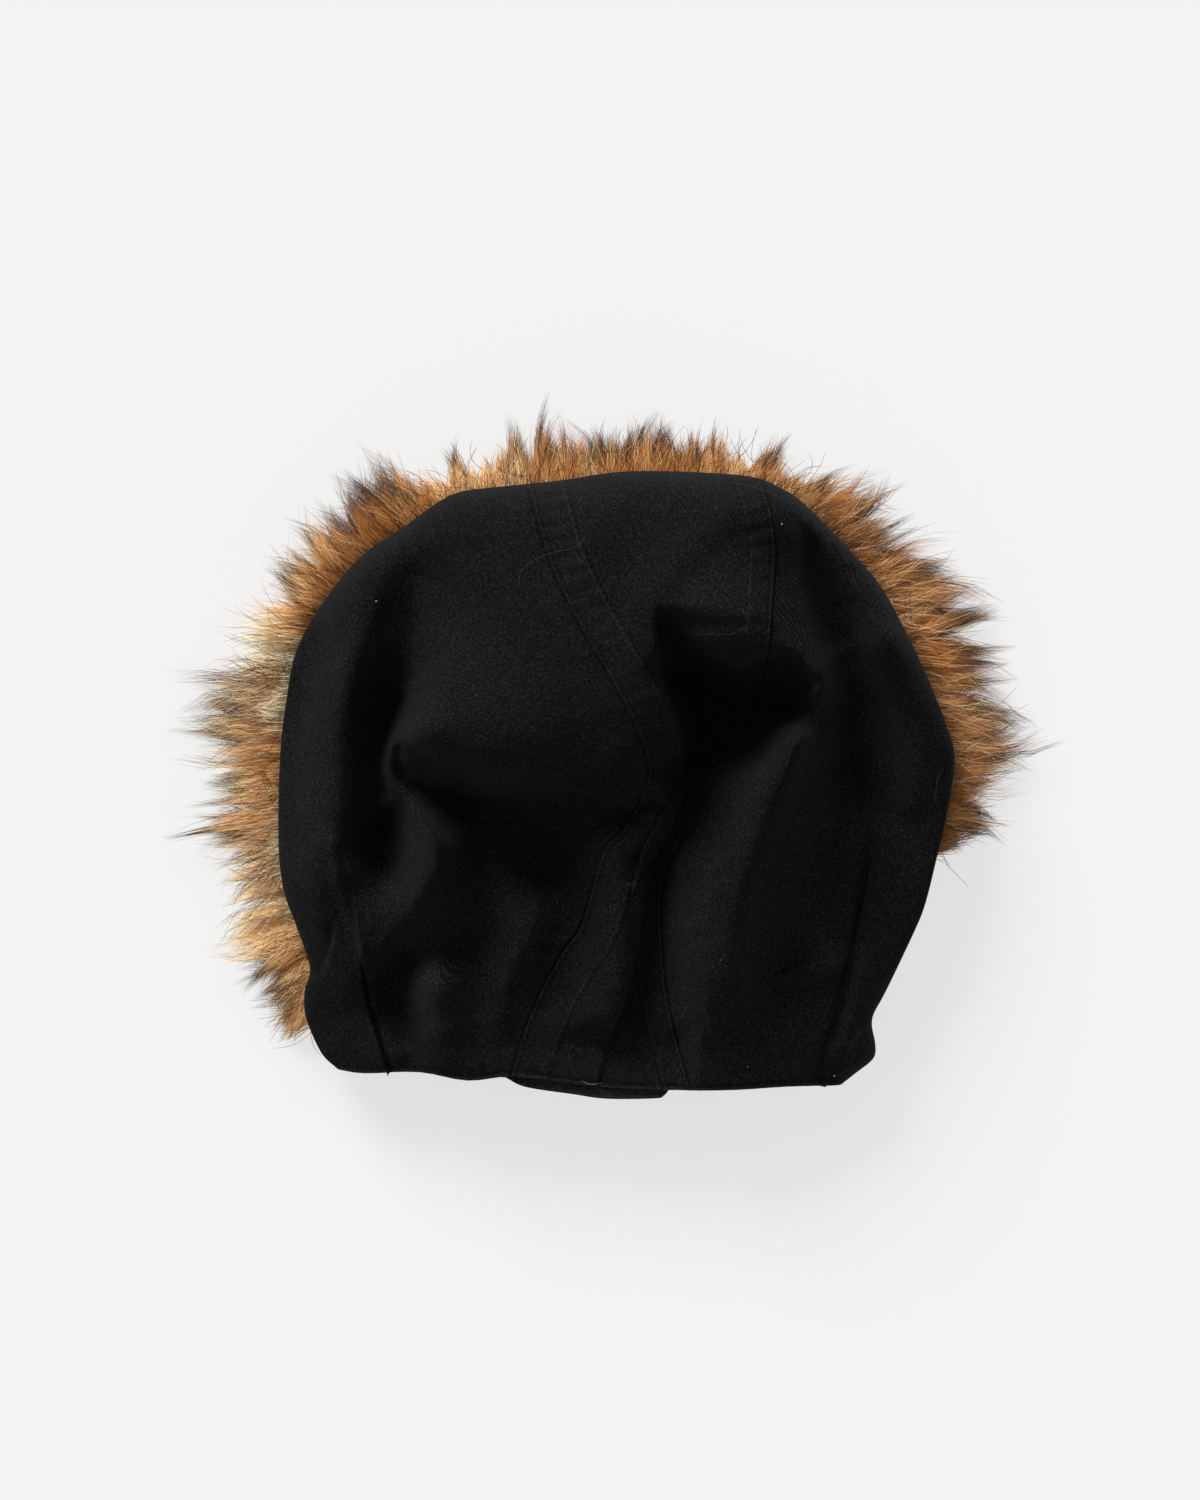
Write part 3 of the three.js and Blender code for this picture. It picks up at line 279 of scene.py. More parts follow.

# How dark the pile is painted right beside the cloth, as painted shade where the cloth's edge shades the
# roots, by share of the outline.
PAINTED_ROOT_SHADE = [
    (0.04, 0.25), (0.13, 0.4), (0.25, 0.4), (0.28, 0.55), (0.36, 0.4), (0.4, 0.05), (0.57, 0.05), (0.62, 0.5),
    (0.84, 0.6),
]

# One-sided creases: the side that lies low (1 is left of the way), drop, reach and softness of the
# edge, fades at the start and the end, all in millimetres, and the line in shares.
CREASES = {
    "groove": (1, 12.5, 10, 1.2, 15, 0, [
        (0.200, 0.049), (0.191, -0.016), (0.173, -0.081), (0.141, -0.163), (0.105, -0.234), (0.090, -0.325),
        (0.073, -0.439), (0.058, -0.553), (0.040, -0.635), (0.016, -0.732), (-0.013, -0.814),
        (-0.031, -0.895),
        (-0.049, -0.957)]),
    "hollow_wall": (1, 18, 30, 1.6, 12, 14, [
        (0.117, 0.566), (0.114, 0.472), (0.129, 0.374), (0.144, 0.293), (0.173, 0.212), (0.191, 0.130),
        (0.203, 0.065), (0.206, 0.000)]),
    "hollow_lip": (-1, 10, 22, 3.5, 20, 6, [
        (0.123, 0.547), (0.165, 0.482), (0.218, 0.430), (0.271, 0.404), (0.313, 0.368), (0.360, 0.361),
        (0.411, 0.384), (0.461, 0.407), (0.508, 0.391), (0.553, 0.348), (0.603, 0.299)]),
    "under_bulge": (-1, 8.3, 22, 2.2, 14, 8, [
        (-0.627, 0.016), (-0.568, -0.010), (-0.494, -0.033), (-0.405, -0.046), (-0.286, -0.029),
        (-0.167, -0.026),
        (-0.079, -0.042), (-0.019, -0.068), (0.034, -0.091), (0.084, -0.065), (0.129, -0.026)]),
    "right_ridge": (1, 7.9, 34, 8, 16, 26, [
        (0.494, 0.853), (0.514, 0.749), (0.535, 0.618), (0.553, 0.521), (0.574, 0.423), (0.592, 0.342),
        (0.597, 0.285), (0.58, 0.228), (0.544, 0.130), (0.523, 0.065), (0.499, -0.016), (0.470, -0.098),
        (0.440, -0.179), (0.411, -0.234), (0.396, -0.299), (0.390, -0.391), (0.375, -0.488), (0.366, -0.586),
        (0.372, -0.667), (0.402, -0.723)]),
    "right_dart": (-1, 3.6, 8, 0.8, 14, 0, [
        (0.751, -0.228), (0.740, -0.309), (0.722, -0.407), (0.701, -0.521), (0.683, -0.602), (0.657, -0.716),
        (0.627, -0.830), (0.612, -0.911), (0.609, -0.989)]),
    "left_dart": (-1, 3.3, 8, 1.5, 12, 16, [
        (-0.826, -0.189), (-0.799, -0.254), (-0.778, -0.358), (-0.763, -0.472), (-0.751, -0.602),
        (-0.740, -0.684)]),
    "left_dart_low": (1, 4.2, 11, 0.8, 14, 0, [
        (-0.757, -0.537), (-0.748, -0.635), (-0.731, -0.742), (-0.707, -0.830), (-0.677, -0.937)]),
    "left_pleat": (-1, 3, 7, 0.9, 8, 0, [
        (-0.826, -0.439), (-0.837, -0.527), (-0.861, -0.602), (-0.894, -0.644), (-0.932, -0.667)]),
    "nose": (-1, 9.2, 16, 3, 14, 8, [
        (-0.559, 0.251), (-0.627, 0.182), (-0.665, 0.120), (-0.686, 0.049), (-0.677, -0.023),
        (-0.651, -0.065)]),
    "hook": (1, 15.3, 18, 4, 10, 12, [
        (-0.636, 0.153), (-0.654, 0.088), (-0.642, 0.016), (-0.606, -0.049), (-0.553, -0.114),
        (-0.511, -0.182),
        (-0.505, -0.228)]),
    "hook_side": (-1, 3.9, 18, 5, 12, 20, [
        (-0.677, 0.049), (-0.672, -0.03), (-0.622, -0.11), (-0.545, -0.17), (-0.535, -0.25), (-0.6, -0.38),
        (-0.68, -0.5), (-0.73, -0.62)]),
    "left_valley": (1, 2.8, 16, 5, 10, 14, [
        (-0.654, 0.618), (-0.689, 0.521), (-0.719, 0.407), (-0.743, 0.260), (-0.754, 0.065),
        (-0.748, -0.065)]),
}

# Small ridges and valleys: rise, half width and fade at the ends in millimetres, and the line in shares.
SMALL_FOLDS = {
    "ridge_right_top": (1.3, 3, 6, [(0.544, 0.863), (0.588, 0.781), (0.639, 0.690), (0.686, 0.612)]),
    "ridge_left": (0.9, 2.6, 6, [(-0.873, 0.212), (-0.914, 0.124), (-0.944, 0.049), (-0.965, -0.033)]),
    "ridge_bulge": (0.7, 3, 8, [(-0.212, 0.576), (-0.239, 0.488), (-0.268, 0.407), (-0.310, 0.345)]),
    "corner_fold": (2.0, 1.7, 3, [(0.772, -0.775), (0.722, -0.833), (0.692, -0.898), (0.677, -0.957)]),
    "low_right": (-1.8, 7, 10, [(0.609, -0.664), (0.514, -0.703), (0.425, -0.749), (0.331, -0.807),
        (0.248, -0.898)]),
    "low_left": (-1.4, 5, 8, [(-0.250, -0.521), (-0.277, -0.635), (-0.304, -0.755)]),
    "low_left_2": (-1.8, 7, 8, [(-0.458, -0.635), (-0.411, -0.775), (-0.369, -0.924)]),
    "pocket": (-3.5, 5, 4, [(0.070, -0.228), (0.052, -0.280), (0.064, -0.339)]),
    "crown_fold": (3.8, 9, 12, [(0.422, 0.908), (0.249, 0.772), (0.114, 0.61), (0.077, 0.488)]),
    "crown_dip": (-1.2, 11, 14, [(0.077, 0.881), (0.002, 0.691), (-0.047, 0.474)]),
    "dart_ridge_left": (3.3, 3.2, 8, [(-0.837, -0.163), (-0.8, -0.367), (-0.739, -0.584), (-0.709, -0.774)]),
    "low_left_valley": (-5.1, 6, 8, [(-0.694, -0.529), (-0.664, -0.692), (-0.615, -0.896)]),
    "low_left_ridge": (3.2, 8, 10, [(-0.578, -0.421), (-0.541, -0.638), (-0.516, -0.882)]),
    "low_left_valley_2": (-1.7, 6, 8, [(-0.455, -0.502), (-0.413, -0.692), (-0.393, -0.896)]),
    "low_left_ridge_2": (3.1, 7, 10, [(-0.338, -0.529), (-0.338, -0.746), (-0.348, -0.896)]),
    "strip_fold": (-1.1, 6, 8, [(-0.116, -0.204), (-0.146, -0.367), (-0.084, -0.489), (-0.01, -0.557)]),
    "strip_ridge": (-2.2, 6, 8, [(-0.072, -0.285), (-0.096, -0.529), (-0.17, -0.746)]),
    "dart_ridge_right": (-4.3, 3.5, 10, [(0.756, -0.15), (0.736, -0.367), (0.694, -0.638), (0.632, -0.896)]),
    "low_right_valley": (-2.3, 7, 10, [(0.385, -0.584), (0.472, -0.746), (0.608, -0.706), (0.719, -0.557)]),
    "low_right_ridge": (2.8, 8, 10, [(0.175, -0.421), (0.249, -0.692), (0.299, -0.882)]),
    "low_right_dip": (-1.9, 8, 10, [(0.398, -0.774), (0.497, -0.855)]),
    "ridge_edge": (4.1, 4, 8, [(0.497, 0.84), (0.521, 0.664), (0.558, 0.474), (0.595, 0.311)]),
    "ridge_dip": (-4, 8, 10, [(0.551, 0.8), (0.608, 0.61), (0.65, 0.393)]),
    "shoulder_right": (5.1, 10, 14, [(0.694, 0.691), (0.805, 0.42), (0.867, 0.122), (0.867, -0.15)]),
    "shoulder_dip": (-3.5, 10, 14, [(0.719, 0.311), (0.744, 0.04), (0.719, -0.177)]),
    "left_edge_ridge": (3.7, 7, 12, [(-0.813, 0.637), (-0.862, 0.366), (-0.887, 0.094), (-0.899, -0.15)]),
    "left_edge_dip": (1.7, 6, 10, [(-0.912, -0.204), (-0.874, -0.421), (-0.837, -0.638)]),
    "below_nose": (-1.6, 7, 8, [(-0.492, 0.04), (-0.455, -0.082), (-0.393, -0.177)]),
    "basin_left": (3.4, 10, 12, [(-0.455, -0.177), (-0.442, -0.367), (-0.492, -0.529)]),
    "basin_mid": (-3.6, 12, 14, [(-0.245, -0.177), (-0.269, -0.367)]),
    "bulge_low": (-1.8, 12, 14, [(-0.541, 0.122), (-0.294, 0.094), (0.002, 0.081)]),
}

# The tab below the hem seen from above, from its left top corner round. Columns as for the outline.
TAB = [
    (-0.327, -0.9216), (-0.327, -0.967), (-0.268, -0.997), (-0.131, -1.02), (-0.03, -1.035), (0.113, -1.034),
    (0.14, -1.025), (0.155, -1.003), (0.158, -0.974), (0.158, -0.9216),
]

# Threads and hairs that lie on the cloth: width in millimetres, tone, and the line in shares.
LINT = [
    (0.11, 0.14, [(-0.286, 0.618), (-0.277, 0.667), (-0.242, 0.700), (-0.197, 0.723), (-0.123, 0.742),
        (-0.090, 0.781)]),
    (0.10, 0.14, [(-0.123, 0.742), (-0.117, 0.716), (-0.099, 0.693)]),
    (0.09, 0.11, [(0.375, 0.661), (0.387, 0.635), (0.369, 0.570), (0.366, 0.537), (0.393, 0.488)]),
    (0.09, 0.10, [(0.218, 0.465), (0.328, 0.465), (0.381, 0.495)]),
    (0.10, 0.12, [(0.425, 0.462), (0.440, 0.482)]),
    (0.10, 0.14, [(0.331, 0.957), (0.366, 0.947), (0.411, 0.937), (0.485, 0.902), (0.535, 0.879),
        (0.580, 0.882)]),
    (0.10, 0.14, [(0.962, 0.039), (0.944, 0.000), (0.941, -0.081)]),
    (0.09, 0.12, [(-0.126, -0.853), (-0.141, -0.885), (-0.135, -0.924), (-0.114, -0.970)]),
    (0.22, 0.26, [(-0.102, -0.976), (-0.079, -0.986), (-0.043, -0.983)]),
]

# Specks on the cloth: x and y in shares, half size in millimetres, tone.
SPECKS = [
    (-0.701, 0.573, 0.5, 0.55), (0.479, 0.817, 0.55, 0.7), (0.387, -0.928, 0.5, 1.0),
    (0.304, -0.576, 0.28, 0.3), (0.645, -0.963, 0.5, 0.55),
]


def mix(a, b, t):
    return a + (b - a) * t


def smooth(t):
    t = np.clip(t, 0.0, 1.0)
    return t * t * (3.0 - 2.0 * t)


def bell(away, width, at=0.0):
    """1 at a place, falling away smoothly over a width on both sides of it."""
    return np.exp(-((away - at) / width) ** 2)


def spline_through(points, steps):
    """A smooth line through points, so many steps from one to the next."""
    p = np.array(points, float)
    p = np.vstack([2 * p[0] - p[1], p, 2 * p[-1] - p[-2]])
    t = np.linspace(0, 1, steps, endpoint=False)[:, None]
    parts = []
    for i in range(1, len(p) - 2):
        a, b, c, d = p[i - 1:i + 3]
        square = (2 * a - 5 * b + 4 * c - d) * t**2
        cube = (3 * b - a - 3 * c + d) * t**3
        parts.append(0.5 * (2 * b + (c - a) * t + square + cube))
    parts.append(p[-2][None])
    return np.vstack(parts)


def lengths_along(line):
    return np.concatenate([[0.0], np.cumsum(np.linalg.norm(np.diff(line, axis=0), axis=1))])


def at_shares(line, along, shares):
    """Points of a line at shares of its length."""
    wanted = np.clip(shares, 0, 1) * along[-1]
    return np.stack([np.interp(wanted, along, line[:, k]) for k in range(line.shape[1])], -1)


def evenly(line, shares):
    return at_shares(line, lengths_along(line), shares)


def millimetres(rows, way=1):
    return [(way * x * HALF_WIDTH, y * HALF_LENGTH) for x, y in rows]


outline = spline_through(millimetres(OUTLINE), 4)
outline_along = lengths_along(outline)
hem = spline_through(millimetres(HEM), 4)
left_plan = spline_through(millimetres(LEFT_SEAM), 8)
right_plan = spline_through(millimetres(RIGHT_SEAM), 8)
STRIPS = ((left_plan, STRIP_LEFT), (right_plan, STRIP_RIGHT))


def on_outline(share):
    return at_shares(outline, outline_along, share)


def hem_y(x):
    return float(np.interp(x, hem[:, 0], hem[:, 1]))


def nearest(line, x, y):
    """For many plan points: distance to a line, the side of it (1 is left), and the length run along it."""
    best = np.full(x.shape, 1e12)
    side = np.zeros(x.shape)
    where = np.zeros(x.shape)
    along = lengths_along(line)
    for i in range(len(line) - 1):
        ax, ay = line[i, :2]
        dx, dy = line[i + 1, 0] - ax, line[i + 1, 1] - ay
        t = np.clip(((x - ax) * dx + (y - ay) * dy) / (dx * dx + dy * dy + 1e-12), 0, 1)
        d = (x - ax - t * dx) ** 2 + (y - ay - t * dy) ** 2
        closer = d < best
        best = np.where(closer, d, best)
        side = np.where(closer, np.sign(dx * (y - ay) - dy * (x - ax)), side)
        where = np.where(closer, along[i] + t * (along[i + 1] - along[i]), where)
    return np.sqrt(best), side, where, along[-1]


def distance_to(line, x, y):
    return nearest(line, x, y)[0]


def beside(line, x, y):
    """Distance of plan points to a line, positive on its left."""
    best, side, where, length = nearest(line, x, y)
    return best * side, where, length


def outline_share_near(x, y):
    d = np.hypot(outline[:, 0] - x, outline[:, 1] - y)
    return outline_along[int(np.argmin(d))] / outline_along[-1]


def fit_folds():
    """The points and weights of one smooth surface through all the folds."""
    knots = []
    for rows in FOLDS.values():
        line = spline_through([(x * HALF_WIDTH, y * HALF_LENGTH, h * CLOTH_HEIGHT) for x, y, h in rows], 12)
        along = lengths_along(line[:, :2])
        count = max(1, int(math.floor(along[-1] / FOLD_SPACING + 0.5)))
        knots.append(at_shares(line, along, np.linspace(0, 1, count + 1)))
    k = np.vstack(knots)
    n = len(k)
    d2 = (k[:, None, 0] - k[None, :, 0]) ** 2 + (k[:, None, 1] - k[None, :, 1]) ** 2
    a = np.zeros((n + 3, n + 3))
    a[:n, :n] = np.sqrt(d2 + FOLD_SOFTNESS**2) - np.eye(n) * FOLD_EASE
    a[:n, n:] = np.stack([np.ones(n), k[:, 0] / 100, k[:, 1] / 100], -1)
    a[n:, :n] = a[:n, n:].T
    return k, np.linalg.solve(a, np.concatenate([k[:, 2], np.zeros(3)]))


knots, weights = fit_folds()


def fold_height(x, y):
    z = weights[-3] + weights[-2] * x / 100 + weights[-1] * y / 100
    for knot, weight in zip(knots, weights):
        z = z + weight * np.sqrt((x - knot[0]) ** 2 + (y - knot[1]) ** 2 + FOLD_SOFTNESS**2)
    return z


def rim_height(y):
    return mix(RIM_LOW, RIM_HIGH, smooth((y / HALF_LENGTH + 1) / RIM_CLIMB_SHARE))


def over_tab(x, y):
    """1 where the cloth lies flat over the tab, fading to 0 round it."""
    in_x = smooth(1 - np.maximum(np.maximum(TAB_LEFT - x, x - TAB_RIGHT), 0) / FLAT_FADE_X)
    in_y = smooth(1 - np.maximum(y - FLAT_TOP, 0) / FLAT_FADE_Y)
    return in_x * in_y


def height_at(x, y):
    """The height of the cloth's outer side over plan points."""
    z = mix(fold_height(x, y), HEM_HEIGHT, over_tab(x, y))
    rim = rim_height(y)
    e = np.clip(distance_to(outline, x, y) / ROLL_REACH, 0, 1)
    return rim + (z - rim) * (1 - (1 - e) ** ROLL_SHARPNESS) ** (1 / ROLL_ROUNDNESS)


def ends_fade(where, length, at_start, at_end):
    fade = np.ones(where.shape)
    if at_start:
        fade = fade * smooth(where / at_start)
    if at_end:
        fade = fade * smooth((length - where) / at_end)
    return fade


def waves(x, y, size, seed):
    """Gentle unevenness of about one unit, over a given size in millimetres."""
    r = np.random.default_rng(seed)
    total = np.zeros(x.shape)
    for _ in range(9):
        turn = r.uniform(0, math.tau)
        length = size * r.uniform(0.6, 1.6)
        way = x * math.cos(turn) + y * math.sin(turn)
        total += np.sin(way * math.tau / length + r.uniform(0, math.tau))
    return total / 3.0


def creases_at(x, y):
    """What the sharp creases and small folds add to the height."""
    z = np.zeros(x.shape)
    for side, drop, reach, edge, at_start, at_end, rows in CREASES.values():
        d, where, length = beside(spline_through(millimetres(rows), 5), x, y)
        d = d * side
        fall = smooth(d / edge * 0.5 + 0.5) * np.exp(-(np.maximum(d, 0) / reach) ** FALL_POWER)
        hump = HUMP_SHARE * bell(d, np.where(d < 0, HUMP_WIDTH, edge))
        z = z + drop * ends_fade(where, length, at_start, at_end) * (hump - np.where(d < -edge, 0, fall))
    for rise, width, fade, rows in SMALL_FOLDS.values():
        d, where, length = beside(spline_through(millimetres(rows), 5), x, y)
        z = z + rise * ends_fade(where, length, fade, fade) * bell(d, width)
    return z


def sewn_line(table, kind, away, at=0.0):
    """One line of the sewing, from its table's rise and half width."""
    rise, width = table[kind]
    return rise * bell(away, width, at)


def seam_detail(x, y, panel):
    """A groove at each seam, and on the middle panel a rolled edge, a raised strip and its puckers."""
    z = np.zeros(x.shape)
    for seam, width in STRIPS:
        d, where, length = beside(seam, x, y)
        away = np.abs(d)
        z = z + sewn_line(RELIEF, "seam", away)
        if panel == "side":
            z = z + 0.2 * np.sin(where * math.tau / 9.7 + 1.3) * bell(away, 5.0)
            continue
        z = z + STRIP_RISE * smooth((width + STRIP_SLOPE / 2 - away) / STRIP_SLOPE)
        z = z + sewn_line(RELIEF, "roll", away, 1.1)
        pucker = np.sin(where * math.tau / PUCKER_STEP + 2.0 * np.sin(where / 17.0) + away * 0.12)
        strength = mix(*PUCKER_RISE, smooth((where / length - PUCKERS_GROW_AT) / 0.2))
        z = z + strength * pucker * np.exp(-((away - width * 0.5) / (width * 0.42)) ** 4)
        pull = 0.7 + 0.3 * np.sin(where * math.tau / STITCH_STEP)
        for at in (SEAM_STITCH, width - STRIP_STITCH):
            z = z + pull * sewn_line(RELIEF, "pit", away, at)
    return z


def painted_shade_and_highlight_at(x, y, panel):
    """Painted highlight and shade: where the cloth is painted paler, as highlights on rolled edges and the
    hem's edge, or darker, as shade in seams, stitch pits and darts.
    """
    painted_shade_and_highlight = np.zeros(x.shape)
    for seam, width in STRIPS:
        d, where, _ = beside(seam, x, y)
        away = np.abs(d)
        painted_shade_and_highlight += sewn_line(PAINTED_SHADE_AND_HIGHLIGHT, "seam", away)
        if panel == "centre":
            pull = 0.65 + 0.35 * np.sin(where * math.tau / STITCH_STEP)
            painted_shade_and_highlight += sewn_line(PAINTED_SHADE_AND_HIGHLIGHT, "roll", away, 1.2)
            for at in (SEAM_STITCH, width - STRIP_STITCH):
                painted_shade_and_highlight += pull * sewn_line(PAINTED_SHADE_AND_HIGHLIGHT, "pit", away, at)
            painted_shade_and_highlight += sewn_line(PAINTED_SHADE_AND_HIGHLIGHT, "strip_edge", away, width - STRIP_STITCH - 0.9)
    # Painted shade along the fold lines of two darts.
    for name in ("right_dart", "left_dart_low"):
        d, where, length = beside(spline_through(millimetres(CREASES[name][-1]), 5), x, y)
        painted_shade_and_highlight += ends_fade(where, length, 20, 0) * sewn_line(PAINTED_SHADE_AND_HIGHLIGHT, "dart", d)
    away = distance_to(hem, x, y)
    return painted_shade_and_highlight + sewn_line(PAINTED_SHADE_AND_HIGHLIGHT, "hem_edge", away) + sewn_line(PAINTED_SHADE_AND_HIGHLIGHT, "hem_pit", away, HEM_STITCH)


def hem_detail(x, y):
    """The turned hem: a slightly thicker band along the neck edge with its stitch groove."""
    d, where, _ = beside(hem, x, y)
    away = np.abs(d)
    band = HEM_BAND_RISE * smooth((HEM_BAND - away) / 2.0) + sewn_line(RELIEF, "hem_pit", away, HEM_STITCH)
    return band + 0.1 * np.sin(where * math.tau / 7.1) * bell(away, 6.0)


def surface_at(x, y, panel):
    """The cloth's outer side with all its detail."""
    calm = smooth(distance_to(outline, x, y) / CALM_REACH)
    free = 1 - TAB_CALM * over_tab(x, y)
    z = height_at(x, y) + creases_at(x, y) * mix(CALM_SHARE, 1, calm) * free
    for rise, size, seed in WAVES:
        z = z + rise * waves(x, y, size, seed) * free
    return z + seam_detail(x, y, panel) + hem_detail(x, y)


def inward_at(p):
    """The way from points of the outline towards the middle of the face opening."""
    tx = np.clip(p[..., 0] / HALF_WIDTH, -0.35, 0.35) * HALF_WIDTH
    ty = np.clip(p[..., 1] / HALF_LENGTH, -0.6, 0.45) * HALF_LENGTH
    d = np.stack([tx - p[..., 0], ty - p[..., 1]], -1)
    return d / np.linalg.norm(d, axis=-1, keepdims=True)


def inset_point(share, inset):
    o = on_outline(share)
    return o + inward_at(o) * inset


def over_fur(share):
    return smooth((share - FUR_START) / FUR_FADE + 1) * smooth((FUR_END - share) / FUR_FADE + 1)


def flap_line(way, share):
    """The front edge of a chin flap, up to where it meets the face edge."""
    return spline_through(millimetres(FLAP_EDGE, way) + [tuple(inset_point(share, FACE_INSET))], 8)


left_flap = flap_line(1, FLAP_SHARE)
right_flap = flap_line(-1, 1 - FLAP_SHARE)


def face_point(share):
    """A point of the face edge, or of a chin flap's front edge beyond the fur's ends."""
    end = min(share, 1 - share) / FLAP_SHARE
    if end >= 1:
        p = inset_point(share, FACE_INSET)
    else:
        p = evenly(left_flap if share < 0.5 else right_flap, end)
    return np.array([p[0], p[1], float(over_fur(share) * (FUR_TOP + 0.3))])


def under_line(share, count):
    """The way of the cloth from its outline under to the face edge."""
    ox, oy = on_outline(share)
    oz = float(rim_height(oy))
    d = face_point(share)
    far = math.hypot(ox - d[0], oy - d[1])
    pull = max(far - FACE_TURN, 0.3 * far) / far
    a = np.array([ox, oy, oz])
    b = np.array([ox, oy, oz - (oz - d[2]) * FACE_DROP])
    c = np.array([mix(d[0], ox, pull), mix(d[1], oy, pull), d[2]])
    t = np.linspace(0, 1, 49)[:, None]
    line = (1 - t) ** 3 * a + 3 * (1 - t) ** 2 * t * b + 3 * (1 - t) * t**2 * c + t**3 * d
    return evenly(line, np.linspace(0, 1, count + 1))


def seam_line(plan):
    """A seam with its ends moved onto the hem and the outline, and its heights."""
    line = plan.copy()
    line[0, 1] = hem_y(line[0, 0])
    line[-1] = on_outline(outline_share_near(*line[-1]))
    return np.column_stack([line, height_at(line[:, 0], line[:, 1])])


left_seam = seam_line(left_plan)
right_seam = seam_line(right_plan)
left_share = outline_share_near(*left_seam[-1, :2])
right_share = outline_share_near(*right_seam[-1, :2])


def hem_part(from_x, to_x):
    low, high = min(from_x, to_x), max(from_x, to_x)
    inner = hem[(hem[:, 0] > low + 0.5) & (hem[:, 0] < high - 0.5)]
    part = np.vstack([[low, hem_y(low)], inner, [high, hem_y(high)]])
    return part if from_x < to_x else part[::-1]


def edged_shares(length, count, steps):
    """Even shares of a length, with closer ones at its start."""
    if length < 3 * steps[-1]:
        return np.linspace(0, 1, count + 1)
    return np.concatenate([steps[:-1], np.linspace(steps[-1], length, count + 2 - len(steps))]) / length


ROW_SHARES = edged_shares(SEAM_RUN, SIDE_ROWS, HEM_STEPS)


def strip_shares(a, b):
    """Shares from the left seam to the right one, closer at the seams and the strips' stitches."""
    t = np.linspace(0, 1, 201)
    line = a[:, None] + (b - a)[:, None] * t[None, :, None]
    sides = []
    for (seam, width), way in zip(STRIPS, (1, -1)):
        pits = width - STRIP_STITCH + np.array(PIT_STEPS)
        between = np.linspace(SEAM_STEPS[-1], pits[0], STRIP_INNER)[1:-1]
        wanted = np.concatenate([SEAM_STEPS, between, pits])
        rows = []
        for away in distance_to(seam, line[..., 0], line[..., 1])[:, ::way]:
            rising = np.maximum.accumulate(away - away[0])
            rows.append(np.interp(wanted, rising + t * 1e-6, t))
        sides.append(np.array(rows))
    middle = CENTRE_COLUMNS + 3 - sides[0].shape[1] - sides[1].shape[1]
    inner = np.linspace(sides[0][:, -1], 1 - sides[1][:, -1], middle, axis=1)[:, 1:-1]
    return np.concatenate([sides[0], inner, 1 - sides[1][:, ::-1]], 1)


def spanned(a, b, shares):
    """Plan points across a panel between its two edges, which follow the hem at the bottom."""
    on_hem = evenly(hem_part(a[0, 0], b[0, 0]), shares)
    straight = a[0] + (b[0] - a[0]) * shares[..., None]
    fade = ((1 - ROW_SHARES) ** 3)[:, None, None]
    return a[:, None] + (b - a)[:, None] * shares[..., None] + fade * (on_hem - straight)


def side_grid(seam, start_share, end_share):
    """Rows from hem to crown, columns from the seam over the back and under to the face edge."""
    seam_points = evenly(seam, ROW_SHARES)[:, :2]
    shares = mix(start_share, end_share, ROW_SHARES)
    plan = spanned(seam_points, on_outline(shares), np.sin(np.linspace(0, 1, FINE + 1) * math.pi / 2)[None])
    rough = np.concatenate([plan, height_at(plan[..., 0], plan[..., 1])[..., None]], -1)
    top = np.zeros((SIDE_ROWS + 1, SIDE_TOP + 1, 3))
    for r, row in enumerate(rough):
        along = lengths_along(row)
        if along[-1] > 1e-6:
            top[r] = at_shares(row, along, edged_shares(along[-1], SIDE_TOP, EDGE_STEPS))
        else:
            top[r] = row[0]
    top[..., 2] = surface_at(top[..., 0], top[..., 1], "side")
    under = np.stack([under_line(share, SIDE_UNDER)[1:] for share in shares])
    return np.concatenate([top, under], 1)


def centre_grid():
    """Rows from hem to crown and under to the forehead, columns from the left seam to the right one."""
    a, b = (evenly(seam, ROW_SHARES)[:, :2] for seam in (left_seam, right_seam))
    s = strip_shares(a, b)
    on_rim = on_outline(mix(left_share, right_share, s))
    crown = a[-1] + (b[-1] - a[-1]) * s[..., None]
    rise = smooth((ROW_SHARES - CROWN_BEND) / (1 - CROWN_BEND))[:, None, None]
    plan = spanned(a, b, s) + rise * (on_rim - crown)
    top = np.concatenate([plan, surface_at(plan[..., 0], plan[..., 1], "centre")[..., None]], -1)
    under = np.stack([under_line(mix(left_share, right_share, k), SIDE_UNDER)[1:] for k in s[-1]], 1)
    return np.concatenate([top, under], 0)


def grid_normals(g, flip):
    n = np.cross(np.gradient(g, axis=1), np.gradient(g, axis=0))
    length = np.linalg.norm(n, axis=-1, keepdims=True)
    n = np.where(length > 1e-9, n / np.maximum(length, 1e-9), [0.0, 0.0, 1.0])
    return -n if flip else n


def mesh_object(name, points, faces, body="root"):
    """A smooth mesh from millimetre points and equal-sided faces, riding on a body."""
    mesh = bpy.data.meshes.new(name)
    points = np.asarray(points, np.float32) * MM
    faces = np.asarray(faces, np.int32)
    mesh.vertices.add(len(points))
    mesh.vertices.foreach_set("co", points.ravel())
    sides = faces.shape[1]
    mesh.loops.add(faces.size)
    mesh.loops.foreach_set("vertex_index", faces.ravel())
    mesh.polygons.add(len(faces))
    mesh.polygons.foreach_set("loop_start", np.arange(0, faces.size, sides, dtype=np.int32))
    mesh.polygons.foreach_set("loop_total", np.full(len(faces), sides, np.int32))
    mesh.polygons.foreach_set("use_smooth", np.ones(len(faces), bool))
    mesh.update(calc_edges=True)
    mesh.validate()
    obj = bpy.data.objects.new(name, mesh)
    bpy.context.scene.collection.objects.link(obj)
    if body:
        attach(obj, body)
    return obj


